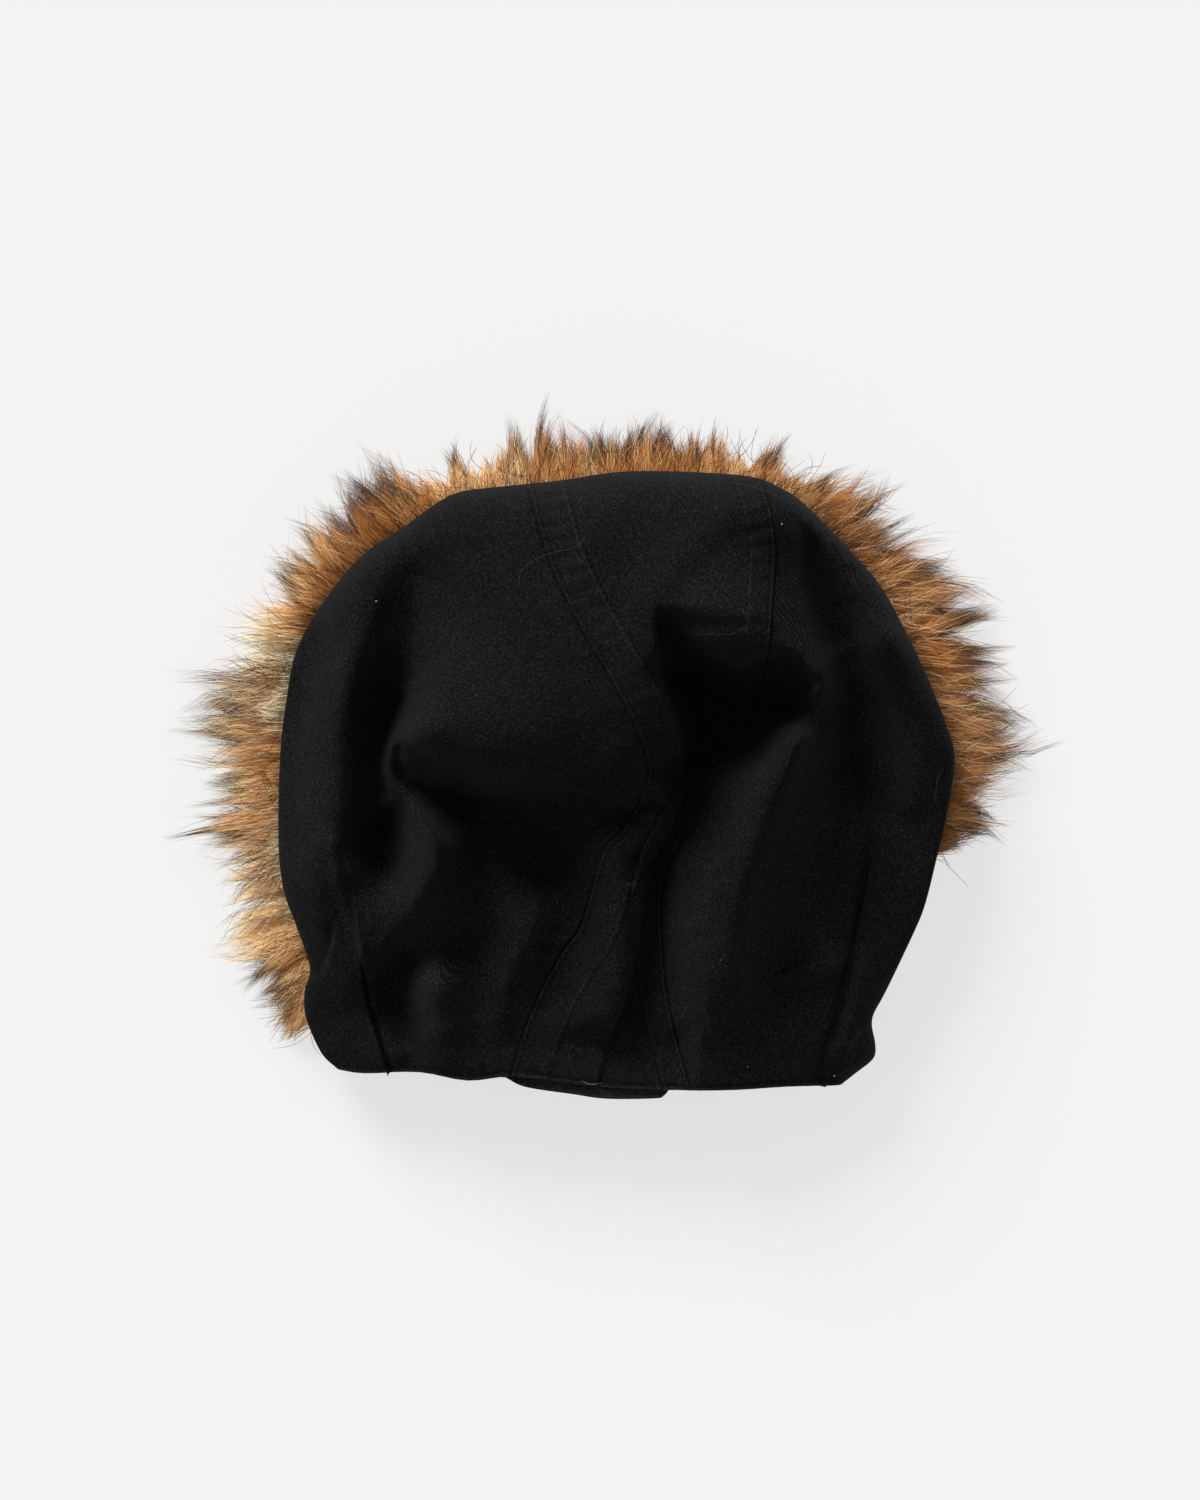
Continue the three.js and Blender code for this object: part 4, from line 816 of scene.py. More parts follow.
def grid_faces(rows, columns, base=0, flip=False):
    r = np.arange(rows - 1)[:, None] * columns
    c = np.arange(columns - 1)[None, :]
    a = (base + r + c).ravel()
    quads = np.stack([a, a + 1, a + 1 + columns, a + columns], -1)
    return quads[:, ::-1] if flip else quads


def set_attribute(mesh, name, values):
    attribute = mesh.attributes.new(name, "FLOAT", "POINT")
    attribute.data.foreach_set("value", np.asarray(values, np.float32).ravel())


def border(rows, columns):
    """Rows and columns of a grid's border, once round."""
    r, c = np.arange(rows - 1), np.arange(columns - 1)
    last_r, last_c = np.full(columns - 1, rows - 1), np.full(rows - 1, columns - 1)
    border_rows = np.concatenate([0 * c, r, last_r, rows - 1 - r])
    return border_rows, np.concatenate([c, last_c, columns - 1 - c, 0 * r])


def one_inward(index, count):
    return np.clip(index + np.where(index == 0, 1, np.where(index == count - 1, -1, 0)), 0, count - 1)


def build_panel(name, grid, flip, seams, side):
    """A cloth wall from a fine outer grid and a coarse inner one, with a rounded edge between.

    The edge is turned further out below the columns that are seams, where the panels are sewn together."""
    n = grid_normals(grid, flip)
    calm = len(SEAM_STEPS) + 2
    n[:, :calm] = n[:, calm:calm + 1]
    if seams == 2:
        n[:, -calm:] = n[:, -calm - 1:-calm]
    outer = grid + SHIFT
    rows, columns = grid.shape[:2]
    kept = [np.unique(np.append(np.arange(0, k, COARSE), k - 1)) for k in (rows, columns)]
    inner_rows, inner_columns = kept
    inner = (outer - n * CLOTH_THICKNESS)[np.ix_(inner_rows, inner_columns)]
    points = [outer.reshape(-1, 3), inner.reshape(-1, 3)]
    faces = [grid_faces(rows, columns, 0, flip),
             grid_faces(len(inner_rows), len(inner_columns), rows * columns, not flip)]
    base = rows * columns + len(inner_rows) * len(inner_columns)
    r, c = border(rows, columns)
    edge = outer[r, c]
    edge_n = n[r, c]
    out = edge - outer[one_inward(r, rows), one_inward(c, columns)]
    out -= edge_n * np.sum(out * edge_n, -1, keepdims=True)
    out /= np.maximum(np.linalg.norm(out, axis=-1, keepdims=True), 1e-6)
    sewn = (np.isin(c, [0, columns - 1][:seams]) & (r > 0) & (r < rows - 1))[:, None]
    points.append(edge)
    for depth, reach, tucked in WALL_EDGE:
        points.append(edge - edge_n * depth + out * np.where(sewn, tucked, reach))
    count = len(r)
    k = np.arange(count)
    for j in range(len(WALL_EDGE)):
        a = base + j * count + k
        b = base + j * count + (k + 1) % count
        quads = np.stack([a, b, b + count, a + count], -1)
        faces.append(quads if flip else quads[:, ::-1])
    obj = mesh_object(name, np.vstack(points), np.vstack(faces))
    # Painted shade and highlights along the sewing, on the outer side's top only.
    on_top = painted_shade_and_highlight_at(grid[..., 0], grid[..., 1], side)
    on_top[SIDE_ROWS + 1:] = 0
    on_top[:, SIDE_TOP + 1:] = 0
    painted_shade_and_highlight = np.zeros(len(obj.data.vertices))
    painted_shade_and_highlight[:rows * columns] = on_top.ravel()
    set_attribute(obj.data, "painted_shade_and_highlight", painted_shade_and_highlight)
    return obj


def new_material(name, roughness, specular):
    m = bpy.data.materials.new(name)
    m.use_nodes = True
    shader = m.node_tree.nodes["Principled BSDF"]
    shader.inputs["Roughness"].default_value = roughness
    shader.inputs["Specular IOR Level"].default_value = specular
    return m, m.node_tree, shader


def add(tree, kind, inputs=None, **settings):
    """A shader node with its settings, and inputs given as values or as other nodes' outputs."""
    node = tree.nodes.new("ShaderNode" + kind)
    for key, value in settings.items():
        setattr(node, key, value)
    for key, value in (inputs or {}).items():
        if isinstance(value, bpy.types.NodeSocket):
            tree.links.new(value, node.inputs[key])
        else:
            node.inputs[key].default_value = value
    return node


def ramp(tree, factor, stops):
    """Colours by a factor: position and colour of each stop."""
    node = add(tree, "ValToRGB", {"Fac": factor})
    elements = node.color_ramp.elements
    elements[0].position, elements[0].color = stops[0][0], (*stops[0][1], 1)
    elements[1].position, elements[1].color = stops[-1][0], (*stops[-1][1], 1)
    for position, colour in stops[1:-1]:
        elements.new(position).color = (*colour, 1)
    return node.outputs["Color"]


def blended(tree, factor, a, b):
    node = add(tree, "Mix", data_type="RGBA")
    tree.links.new(factor, node.inputs["Factor"])
    tree.links.new(a, node.inputs["A"])
    node.inputs["B"].default_value = (*b, 1)
    return node.outputs["Result"]


def bumped(tree, shader, height, strength, distance):
    bump = add(tree, "Bump", {"Height": height, "Strength": strength, "Distance": distance})
    tree.links.new(bump.outputs["Normal"], shader.inputs["Normal"])


def object_place(tree):
    return add(tree, "TexCoord").outputs["Object"]


def attribute(tree, name):
    return add(tree, "Attribute", attribute_name=name).outputs["Fac"]


def noise(tree, place, scale, detail, stretch=None):
    if stretch:
        place = add(tree, "Mapping", {"Vector": place, "Scale": stretch}).outputs["Vector"]
    return add(tree, "TexNoise", {"Vector": place, "Scale": scale, "Detail": detail}).outputs["Fac"]


def diagonal_bands(tree, place, scale, distortion, detail):
    inputs = {"Vector": place, "Scale": scale, "Distortion": distortion, "Detail": detail}
    return add(tree, "TexWave", inputs, wave_type="BANDS", bands_direction="DIAGONAL").outputs["Fac"]


def math_node(tree, operation, a, b, c=0.0):
    node = add(tree, "Math", operation=operation)
    for socket, value in zip(node.inputs, (a, b, c)):
        if isinstance(value, bpy.types.NodeSocket):
            tree.links.new(value, socket)
        else:
            socket.default_value = value
    return node.outputs[0]


def cloth_material(name, turn, lift=-0.245):
    """Black cotton twill: diagonal ribs, slubs along both threads, worn patches, a faint bloom, and painted
    shade and highlights along the sewing and darts.
    """
    m, tree, shader = new_material(name, 0.95, 0.05)
    shader.inputs["Sheen Weight"].default_value = 0.015
    shader.inputs["Sheen Roughness"].default_value = 0.5
    shader.inputs["Sheen Tint"].default_value = (0.8, 0.8, 0.86, 1)
    place = object_place(tree)
    mapping = add(tree, "Mapping", {"Vector": place, "Rotation": (0, 0, math.radians(turn))})
    turned_place = mapping.outputs["Vector"]
    ribs = diagonal_bands(tree, turned_place, 560.0, 1.2, 1.0)
    weft = noise(tree, turned_place, 1.0, 2.0, (650, 2100, 900))
    warp = noise(tree, turned_place, 1.0, 2.0, (2100, 650, 900))
    fine = math_node(tree, "MULTIPLY_ADD", ribs, 0.28, math_node(tree, "ADD", weft, warp))
    tone = math_node(tree, "MULTIPLY_ADD", fine, 0.76, lift)
    tone = math_node(tree, "MULTIPLY_ADD", noise(tree, place, 16.0, 5.0), 0.2, tone)
    # Painted shade and highlights along the sewing, from the panel's attribute.
    tone = math_node(tree, "MULTIPLY_ADD", attribute(tree, "painted_shade_and_highlight"), 0.16, tone)
    colour = ramp(tree, tone, [
        (0.42, (0.001, 0.0009, 0.0011)),
        (0.64, (0.0034, 0.0031, 0.0035)),
        (0.86, (0.0112, 0.0105, 0.0111)),
        (1.0, (0.026, 0.025, 0.026)),
    ])
    tree.links.new(colour, shader.inputs["Base Color"])
    bumped(tree, shader, fine, 0.8, 0.0002)
    return m


def fur_material(name):
    """Dyed pile: each hair's own tone, greyer at some roots, near black at many tips, painted shade on the
    roots beside the cloth, and a faint glow of painted light.
    """
    m, tree, shader = new_material(name, 0.5, 0.3)
    colour = ramp(tree, attribute(tree, "tone"), [
        (0.0, (0.17, 0.052, 0.012)),
        (0.3, (0.55, 0.21, 0.047)),
        (0.55, (0.82, 0.43, 0.15)),
        (0.78, (0.95, 0.67, 0.33)),
        (1.0, (0.98, 0.86, 0.6)),
    ])
    colour = blended(tree, attribute(tree, "grey"), colour, (0.5, 0.38, 0.22))
    colour = blended(tree, attribute(tree, "dark"), colour, (0.016, 0.012, 0.011))
    tree.links.new(colour, shader.inputs["Base Color"])
    # A faint glow in each hair's own colour: painted light that lifts the shade between hairs.
    tree.links.new(colour, shader.inputs["Emission Color"])
    shader.inputs["Emission Strength"].default_value = 0.05
    return m


def thread_material(name):
    """Black sewing thread, a little glossier than the cloth, with its twist."""
    m, tree, shader = new_material(name, 0.7, 0.12)
    twist = diagonal_bands(tree, object_place(tree), 900.0, 0.5, 2.0)
    colour = ramp(tree, twist, [(0.2, (0.003, 0.003, 0.0036)), (0.9, (0.01, 0.01, 0.013))])
    tree.links.new(colour, shader.inputs["Base Color"])
    bumped(tree, shader, twist, 0.4, 0.0001)
    return m


def lint_material(name):
    """Stray threads and specks, from grey to white, bluish and red."""
    m, tree, shader = new_material(name, 0.8, 0.2)
    uneven = noise(tree, object_place(tree), 700.0, 1.0)
    tone = math_node(tree, "ADD", attribute(tree, "tone"), -0.06)
    tone = math_node(tree, "MULTIPLY_ADD", uneven, 0.12, tone)
    colour = ramp(tree, tone, [
        (0.1, (0.03, 0.03, 0.035)),
        (0.5, (0.42, 0.42, 0.44)),
        (0.6, (0.5, 0.5, 0.5)),
        (0.7, (0.25, 0.32, 0.5)),
        (0.95, (0.32, 0.03, 0.03)),
    ])
    tree.links.new(colour, shader.inputs["Base Color"])
    return m


def ground_material(name):
    """The knitted backing of the pile, in uneven brown."""
    m, tree, shader = new_material(name, 0.95, 0.1)
    fibres = noise(tree, object_place(tree), 500.0, 3.0)
    colour = ramp(tree, fibres, [(0.3, (0.05, 0.022, 0.008)), (0.7, (0.2, 0.085, 0.028))])
    tree.links.new(colour, shader.inputs["Base Color"])
    bumped(tree, shader, fibres, 0.8, 0.0008)
    return m


def dressed(piece, material, node=None):
    """Gives a piece its material and hides the solid that it replaces."""
    piece.data.materials.append(material)
    if node:
        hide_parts(node)


def turned(v, angle):
    c, s = np.cos(angle), np.sin(angle)
    return np.stack([v[:, 0] * c - v[:, 1] * s, v[:, 0] * s + v[:, 1] * c], -1)


def left_of(v):
    return np.stack([-v[:, 1], v[:, 0]], -1)


left_grid = side_grid(left_seam, 0.0, left_share)
right_grid = side_grid(right_seam, 1.0, right_share)
left_cloth = build_panel("left_cloth", left_grid, True, 1, "side")
right_cloth = build_panel("right_cloth", right_grid, False, 1, "side")
centre_cloth = build_panel("centre_cloth", centre_grid(), False, 2, "centre")
dressed(left_cloth, cloth_material("cloth_left", -6), "left_panel")
dressed(right_cloth, cloth_material("cloth_right", 14), "right_panel")
dressed(centre_cloth, cloth_material("cloth_centre", 8), "centre_panel")

NEAR_STEP = 0.003
lock_share, lock_reach, lock_lean, lock_dark = np.array(LOCKS).T
lock_root = on_outline(lock_share)
lock_way = on_outline(lock_share + NEAR_STEP) - on_outline(lock_share - NEAR_STEP)
lock_way /= np.linalg.norm(lock_way, axis=-1, keepdims=True)
lock_tip = lock_root + left_of(lock_way) * lock_reach[:, None] + lock_way * lock_lean[:, None]
# The tone near the cloth holds painted shade from the cloth's edge as well as the pile's own colour.
tone_share, near_tone_and_painted_shade, far_tone, root_grey = np.array(TONES).T


def ribbons(name, line, width, turn, values):
    """Tapered ribbons along many lines: points by hair, section and axis."""
    n, k = line.shape[:2]
    direction = np.gradient(line, axis=1)
    direction /= np.maximum(np.linalg.norm(direction, axis=-1, keepdims=True), 1e-9)
    flat = np.stack([-direction[..., 1], direction[..., 0], np.zeros((n, k))], -1)
    flat /= np.maximum(np.linalg.norm(flat, axis=-1, keepdims=True), 1e-6)
    up = np.cross(direction, flat)
    across = flat * np.cos(turn)[:, None, None] + up * np.sin(turn)[:, None, None]
    half = across * width[..., None] * 0.5
    body = np.stack([(line - half)[:, :-1], (line + half)[:, :-1]], 2).reshape(n, 2 * (k - 1), 3)
    points = np.concatenate([body, line[:, -1:]], 1)
    base = np.arange(n) * (2 * k - 1)
    a = (base[:, None] + np.arange(k - 2) * 2).ravel()
    tip = base + 2 * k - 2
    faces = np.concatenate([
        np.stack([a, a + 1, a + 3], -1), np.stack([a, a + 3, a + 2], -1),
        np.stack([tip - 2, tip - 1, tip], -1)])
    obj = mesh_object(name, points.reshape(-1, 3) + SHIFT, faces)
    for key, value in values.items():
        set_attribute(obj.data, key, np.concatenate([np.repeat(value[:, :-1], 2, axis=1), value[:, -1:]], 1))
    return obj


# Each lock is made of tufts: places side by side at a few heights.
TUFT_SPREAD = 0.07
TUFT_TURN = 0.13
TUFT_LONGEST = 1.12
TUFT_SHORTER = 0.7
TUFT_LENGTHS = (0.72, 1.16)
TUFT_GATHER = 0.35
TUFT_TONE = 0.1
TUFT_RISE = 1.5
TUFT_BOW = 0.125
TUFT_DARK = (0.35, 1.3)
tuft_random = np.random.default_rng(20)
tufts_a_lock = TUFT_PLACES * TUFT_LEVELS
tuft_count = len(LOCKS) * tufts_a_lock
tuft_lock = np.repeat(np.arange(len(LOCKS)), tufts_a_lock)
tuft_number = np.tile(np.arange(tufts_a_lock), len(LOCKS))
tuft_gap = np.gradient(lock_share)[tuft_lock]
tuft_place = tuft_number % TUFT_PLACES / TUFT_PLACES - (TUFT_PLACES - 1) / (2 * TUFT_PLACES)
tuft_place = tuft_place + tuft_random.normal(0, TUFT_SPREAD, tuft_count)
tuft_level = (tuft_number // TUFT_PLACES + tuft_random.uniform(0, 1, tuft_count)) / TUFT_LEVELS
tuft_share = lock_share[tuft_lock] + tuft_place * tuft_gap
tuft_root = on_outline(tuft_share)
tuft_far = turned((lock_tip - lock_root)[tuft_lock], tuft_random.normal(0, TUFT_TURN, tuft_count))
tuft_share_of_lock = TUFT_LONGEST - TUFT_SHORTER * np.abs(tuft_place)
tuft_far *= (tuft_share_of_lock * tuft_random.uniform(*TUFT_LENGTHS, tuft_count))[:, None]
tuft_far = tuft_far + (lock_root[tuft_lock] - tuft_root) * TUFT_GATHER
tuft_length = np.linalg.norm(tuft_far, axis=-1)
tuft_far /= tuft_length[:, None]
tuft_side = left_of(tuft_far)
tuft_tone = tuft_random.normal(0, TUFT_TONE, tuft_count)
tuft_rise = tuft_random.normal(0, TUFT_RISE, tuft_count)
tuft_bow = tuft_random.normal(0, TUFT_BOW, tuft_count)
tuft_dark = smooth((lock_dark[tuft_lock] * tuft_random.uniform(*TUFT_DARK, tuft_count) - 0.2) / 0.6)

# Kinds of hair: sections, reach along the tuft, spread at the root, gathering and scatter at the tip,
# root width, share of dark hairs at pale and dark locks, and where the dark tip begins and how fast.
HAIRS = {
    "under": (4, lambda r, n: r.beta(4.0, 2.4, n) * 0.78, 2.0, 0.62, 0.75, (0.2, 0.4),
              (0.0, 0.35), (0.4, 0.3)),
    "guard": (6, lambda r, n: np.minimum(r.beta(5, 2.5, n) * 1.06, 1.0), 1.7, 0.91, 0.3, (0.14, 0.28),
              (0.06, 0.62), (0.55, 0.22)),
    "tips": (5, lambda r, n: r.uniform(0.84, 1.18, n), 1.6, 0.86, 0.6, (0.13, 0.24),
             (0.45, 1.0), (0.36, 0.24)),
}


# Where each hair grows, in millimetres: depth behind the cloth's edge and height, as ranges.
ROOT_DEPTH = (2, 15)
ROOT_HEIGHT = (1.0, 7.2)
REACH_RANGE = (0.06, 1.13)
LEVEL_SPREAD = 0.06
LEAST_SHARE = 0.15

# More hairs grow at the start of the outline, up to this share, and in the long tufts.
FULLER_UP_TO = 0.11
FULLER_FADE = 0.05
FULLER_BY = 1.5
LENGTH_WEIGHT = 12

# How the hairs gather, arch, bow and wriggle, and how their width changes on the way to the tip.
GATHER_POWER = 1.3
ROOT_SCATTER = 0.4
ARCH = 1.35
ARCH_UNEVEN = (0.88, 1.08)
LOW_ARCH = 2.2
LOWEST_ARCH = 1.6
END_SHARE = 0.8
END_HIGH = 1.15
END_FALL = 0.55
END_SPREAD = 0.6
LOWEST_END = 0.8
BOW_SPREAD = 0.022
WRIGGLE_TURNS = 2.2
WRIGGLE_PHASE = 6
WRIGGLE_REACH = 0.35
WIDTH_AT_ROOT = 0.8
WIDTH_SWELL = 1.1
WIDTH_TAPER = 0.6

# Tone and grey of a hair along its way, and the strength of its dark tip.
TONE_CHANGE = 1.3
TONE_SPREAD = 0.055
GREY_END = 2.1
GREY_MOST = 0.75
DARK_STRENGTH = (0.8, 1.0)


def pile_thickness(rim_point):
    return np.minimum(rim_height(rim_point[:, 1]) * PILE_SHARE, PILE_THICK)


def build_fur(name, n, kind, seed):
    """Hairs in tufts that run from under the cloth's edge towards the tips of the locks."""
    k, reach, spread, gather, scatter, widths, shares_dark, dark_from = HAIRS[kind]
    r = np.random.default_rng(seed)
    fuller = 1 + FULLER_BY * smooth((FULLER_UP_TO - tuft_share) / FULLER_FADE)
    weight = tuft_gap * (tuft_length + LENGTH_WEIGHT) * fuller
    if kind == "tips":
        weight = tuft_gap * (tuft_level + LEAST_SHARE) * (LEAST_SHARE + tuft_dark)
    tuft = r.choice(tuft_count, n, p=weight / weight.sum())
    side = tuft_side[tuft]
    length = tuft_length[tuft]
    f = np.clip(reach(r, n), *REACH_RANGE)
    h = np.clip(tuft_level[tuft] + r.normal(0, LEVEL_SPREAD, n), 0, 1)
    share = np.clip(tuft_share[tuft] + r.normal(0, spread, n) / outline_along[-1], PILE_START, PILE_END)
    rim_point = on_outline(share)
    depth = r.uniform(*ROOT_DEPTH, n)
    root = rim_point + inward_at(rim_point) * depth[:, None]
    lateral = np.sum((rim_point - tuft_root[tuft]) * side, -1)
    gathered = lateral * (1 - gather * np.clip(f, 0, 1) ** GATHER_POWER)
    off = gathered + r.normal(0, scatter, n) * (ROOT_SCATTER + f)
    end = tuft_root[tuft] + tuft_far[tuft] * (length * f)[:, None] + side * off[:, None]

    thick = pile_thickness(rim_point)
    z_root = r.uniform(*ROOT_HEIGHT, n)
    z_mid = mix(LOW_ARCH, thick, h) * r.uniform(*ARCH_UNEVEN, n) + tuft_rise[tuft]
    z_mid = np.maximum(LOWEST_ARCH, z_mid)
    z_end = mix(1.0, thick * END_SHARE, h) * (END_HIGH - END_FALL * f)
    z_end = np.maximum(LOWEST_END, z_end + tuft_rise[tuft] + r.normal(0, END_SPREAD, n))
    t = np.linspace(0, 1, k)[None, :]
    t3 = t[..., None]
    bend = (tuft_bow[tuft] + r.normal(0, BOW_SPREAD, n)) * np.linalg.norm(end - root, axis=-1)
    middle = (root + end) / 2 + side * bend[:, None] * 2
    plan = (1 - t3) ** 2 * root[:, None] + 2 * t3 * (1 - t3) * middle[:, None] + t3**2 * end[:, None]
    wriggle = np.sin(t3 * math.pi * WRIGGLE_TURNS + r.uniform(0, WRIGGLE_PHASE, (n, 1, 1)))
    wriggle = wriggle * t3 * r.normal(0, WRIGGLE_REACH, (n, 1, 1))
    plan = plan + side[:, None] * wriggle
    z = (1 - t) ** 2 * z_root[:, None] + 2 * t * (1 - t) * (z_mid * ARCH)[:, None] + t**2 * z_end[:, None]
    line = np.concatenate([plan, z[..., None]], -1)
    width = r.uniform(*widths, n)[:, None] * (WIDTH_AT_ROOT + WIDTH_SWELL * t * (1 - t))
    width = width * (1 - WIDTH_TAPER * t**2)

    # Tone near the cloth, with its painted shade, fading to the tone further out.
    rows = near_tone_and_painted_shade, far_tone, root_grey
    near, far, greys = (np.interp(share, tone_share, row)[:, None] for row in rows)
    out = np.clip((t * (length * f + depth)[:, None] - depth[:, None]) / PILE_FADE, 0, 1.4)
    own_tone = tuft_tone[tuft] + r.normal(0, TONE_SPREAD, n)
    tone = mix(near, far, smooth(out * TONE_CHANGE)) + own_tone[:, None]
    grey = greys * smooth(1 - out * GREY_END) * GREY_MOST
    chosen = r.uniform(0, 1, n) < mix(*shares_dark, tuft_dark[tuft])
    strong = chosen * r.uniform(*DARK_STRENGTH, n)
    dark = strong[:, None] * smooth((t * f[:, None] - dark_from[0]) / dark_from[1])
    # Painted shade on the roots beside the cloth, joined to the dark of the tips.
    shade = np.interp(share, *np.array(PAINTED_ROOT_SHADE).T)[:, None] * bell(out, PAINTED_ROOT_SHADE_REACH)
    dark = 1 - (1 - dark) * (1 - shade)
    values = {"tone": np.clip(tone, 0, 1), "dark": dark, "grey": grey}
    return ribbons(name, line, width, r.uniform(-RIBBON_TURN, RIBBON_TURN, n), values)


# Stray hairs: some cross the locks, the others run with them; some are pale, the others dark.
STRAY_SPREAD = 0.008
STRAY_TURN = 0.3
STRAY_RUN = (0.85, 1.2)
STRAY_BEGIN = -6
STRAY_BOW = 0.1
STRAY_ABOVE = 1.5
CROSSING_SHARE = 0.35
CROSSING_TURN = 0.8
CROSSING_RUN = (8, 20)
CROSSING_BEGIN = (2, 14)
PALE_SHARE = 0.4
PALE_WIDTH = 0.14
DARK_WIDTH = 0.27
PALE_TONE = 0.85
DARK_TONE = 0.25
STRAY_DARK = 0.85


def build_strays(name, n, seed):
    """A few long fine hairs that stand past the locks or lie across them."""
    r = np.random.default_rng(seed)
    crossed = 1 + 5 * np.interp(lock_share, tone_share, root_grey)
    lock = r.choice(len(LOCKS), n, p=crossed / crossed.sum())
    rim_point = on_outline(np.clip(lock_share[lock] + r.normal(0, STRAY_SPREAD, n), PILE_START, PILE_END))
    far = lock_tip[lock] - lock_root[lock]
    length = np.linalg.norm(far, axis=-1)
    far /= length[:, None]
    turn = r.normal(0, STRAY_TURN, n)
    crossing = r.uniform(0, 1, n) < CROSSING_SHARE
    far = turned(far, np.where(crossing, r.normal(0, CROSSING_TURN, n), turn))
    crossing_run = r.uniform(*CROSSING_RUN, n)
    run = np.where(crossing, crossing_run, np.minimum(length * r.uniform(*STRAY_RUN, n), STRAY_LONGEST))
    begin = rim_point + far * np.where(crossing, r.uniform(*CROSSING_BEGIN, n), STRAY_BEGIN)[:, None]
    t = np.linspace(0, 1, STRAY_SECTIONS)[None, :]
    t3 = t[..., None]
    bow = r.normal(0, STRAY_BOW, n)[:, None, None] * run[:, None, None]
    plan = begin[:, None] + far[:, None] * t3 * run[:, None, None]
    plan = plan + left_of(far)[:, None] * 4 * t3 * (1 - t3) * bow
    top = pile_thickness(rim_point)[:, None] + STRAY_ABOVE
    z = np.where(crossing[:, None], top * (0.85 + 0.15 * t), mix(5, top * 1.1, np.sin(t * 2.2)))
    line = np.concatenate([plan, np.maximum(z, 1)[..., None]], -1)
    pale = ((~crossing) & (r.uniform(0, 1, n) < PALE_SHARE))[:, None]
    width = np.where(pale, PALE_WIDTH, DARK_WIDTH) * (1 - 0.5 * t)
    tone = np.where(pale, PALE_TONE, DARK_TONE) * np.ones((1, STRAY_SECTIONS))
    dark = np.where(pale, 0.0, STRAY_DARK) * np.where(crossing[:, None], 1.0, smooth((t - 0.4) / 0.3))
    values = {"tone": tone, "dark": dark, "grey": tone * 0}
    return ribbons(name, line, width, r.uniform(-RIBBON_TURN, RIBBON_TURN, n), values)


GROUND_START = FUR_START + 0.005
GROUND_END = FUR_END - 0.035
GROUND_TAPER = 0.05
GROUND_SECTIONS = 241


def build_ground(name):
    """The knitted backing that the pile grows from: a low strip under the face edge."""
    sections = []
    for share in np.linspace(GROUND_START, GROUND_END, GROUND_SECTIONS):
        end = smooth(min(share - GROUND_START, GROUND_END - share) / GROUND_TAPER)
        reach = float(np.interp(share, lock_share, lock_reach)) * end
        inner = mix(16, 30, end)
        profile = [
            (inner, 0.4), (inner, mix(3, FUR_TOP, end)), (12, mix(3, FUR_TOP, end)),
            (2, mix(3, FUR_TOP - 0.6, end)), (-0.18 * reach, mix(2.5, 4.5, end)), (-0.3 * reach, 0.6),
        ]
        sections.append([(*inset_point(share, inset), z) for inset, z in profile])
    g = np.array(sections) + SHIFT
    rows, columns = g.shape[:2]
    last = columns - 1
    r = np.arange(rows - 1) * columns
    closing = np.stack([r + last, r, r + columns, r + columns + last], -1)
    cap = np.array([[0, 1, 2, 3], [0, 3, 4, 5]])
    faces = [grid_faces(rows, columns, 0, True), closing, cap, (cap + (rows - 1) * columns)[:, ::-1]]
    return mesh_object(name, g.reshape(-1, 3), np.vstack(faces))


pile = fur_material("fur_pile")
for piece in (
    build_fur("fur_under_low", 35000, "under", 21),
    build_fur("fur_under_high", 35000, "under", 22),
    build_fur("fur_guard", 20500, "guard", 23),
    build_fur("fur_tips", 10000, "tips", 25),
    build_strays("fur_strays", 1700, 24),
):
    dressed(piece, pile, "fur_trim")
dressed(build_ground("fur_ground"), ground_material("pile_backing"), "fur_trim")


def offset_line(line, distance):
    """A plan line moved sideways, to its right for a positive distance."""
    d = np.gradient(line, axis=0)
    d /= np.linalg.norm(d, axis=-1, keepdims=True)
    return line - left_of(d) * distance


# A stitch: sections along its length, heights of its eight points and its triangles.
STITCH_SECTIONS = np.array([0.0, 0.22, 0.78, 1.0])
STITCH_HEIGHTS = np.array([-0.15, -0.05, 0.34, -0.05, -0.05, 0.34, -0.05, -0.15])
STITCH_FACES = np.array([
    (0, 2, 1), (0, 3, 2), (1, 2, 5), (1, 5, 4), (2, 3, 6), (2, 6, 5), (4, 5, 7), (5, 6, 7),
])


def stitches(line, height):
    """Small raised stitches along a plan line: the points of each."""
    along = lengths_along(line)
    begin = np.arange(0.5, along[-1] - STITCH_LENGTH, STITCH_STEP)
    p = at_shares(line, along, (begin[:, None] + STITCH_SECTIONS * STITCH_LENGTH) / along[-1])
    d = p[:, -1] - p[:, 0]
    side = left_of(d / np.linalg.norm(d, axis=-1, keepdims=True)) * STITCH_WIDTH / 2
    plan = np.stack([p[:, 0], p[:, 1] + side, p[:, 1], p[:, 1] - side,
                     p[:, 2] + side, p[:, 2], p[:, 2] - side, p[:, 3]], 1)
    return np.concatenate([plan, (height(plan[..., 0], plan[..., 1]) + STITCH_HEIGHTS)[..., None]], -1)


tab_face = HEM_HEIGHT - CLOTH_THICKNESS - TAB_GAP
tab_line = np.vstack([
    spline_through(millimetres(TAB[:2]), 12), spline_through(millimetres(TAB[1:-1]), 14)[1:],
    spline_through(millimetres(TAB[-2:]), 12)[1:],
])
TAB_ENDS = slice(10, -10)


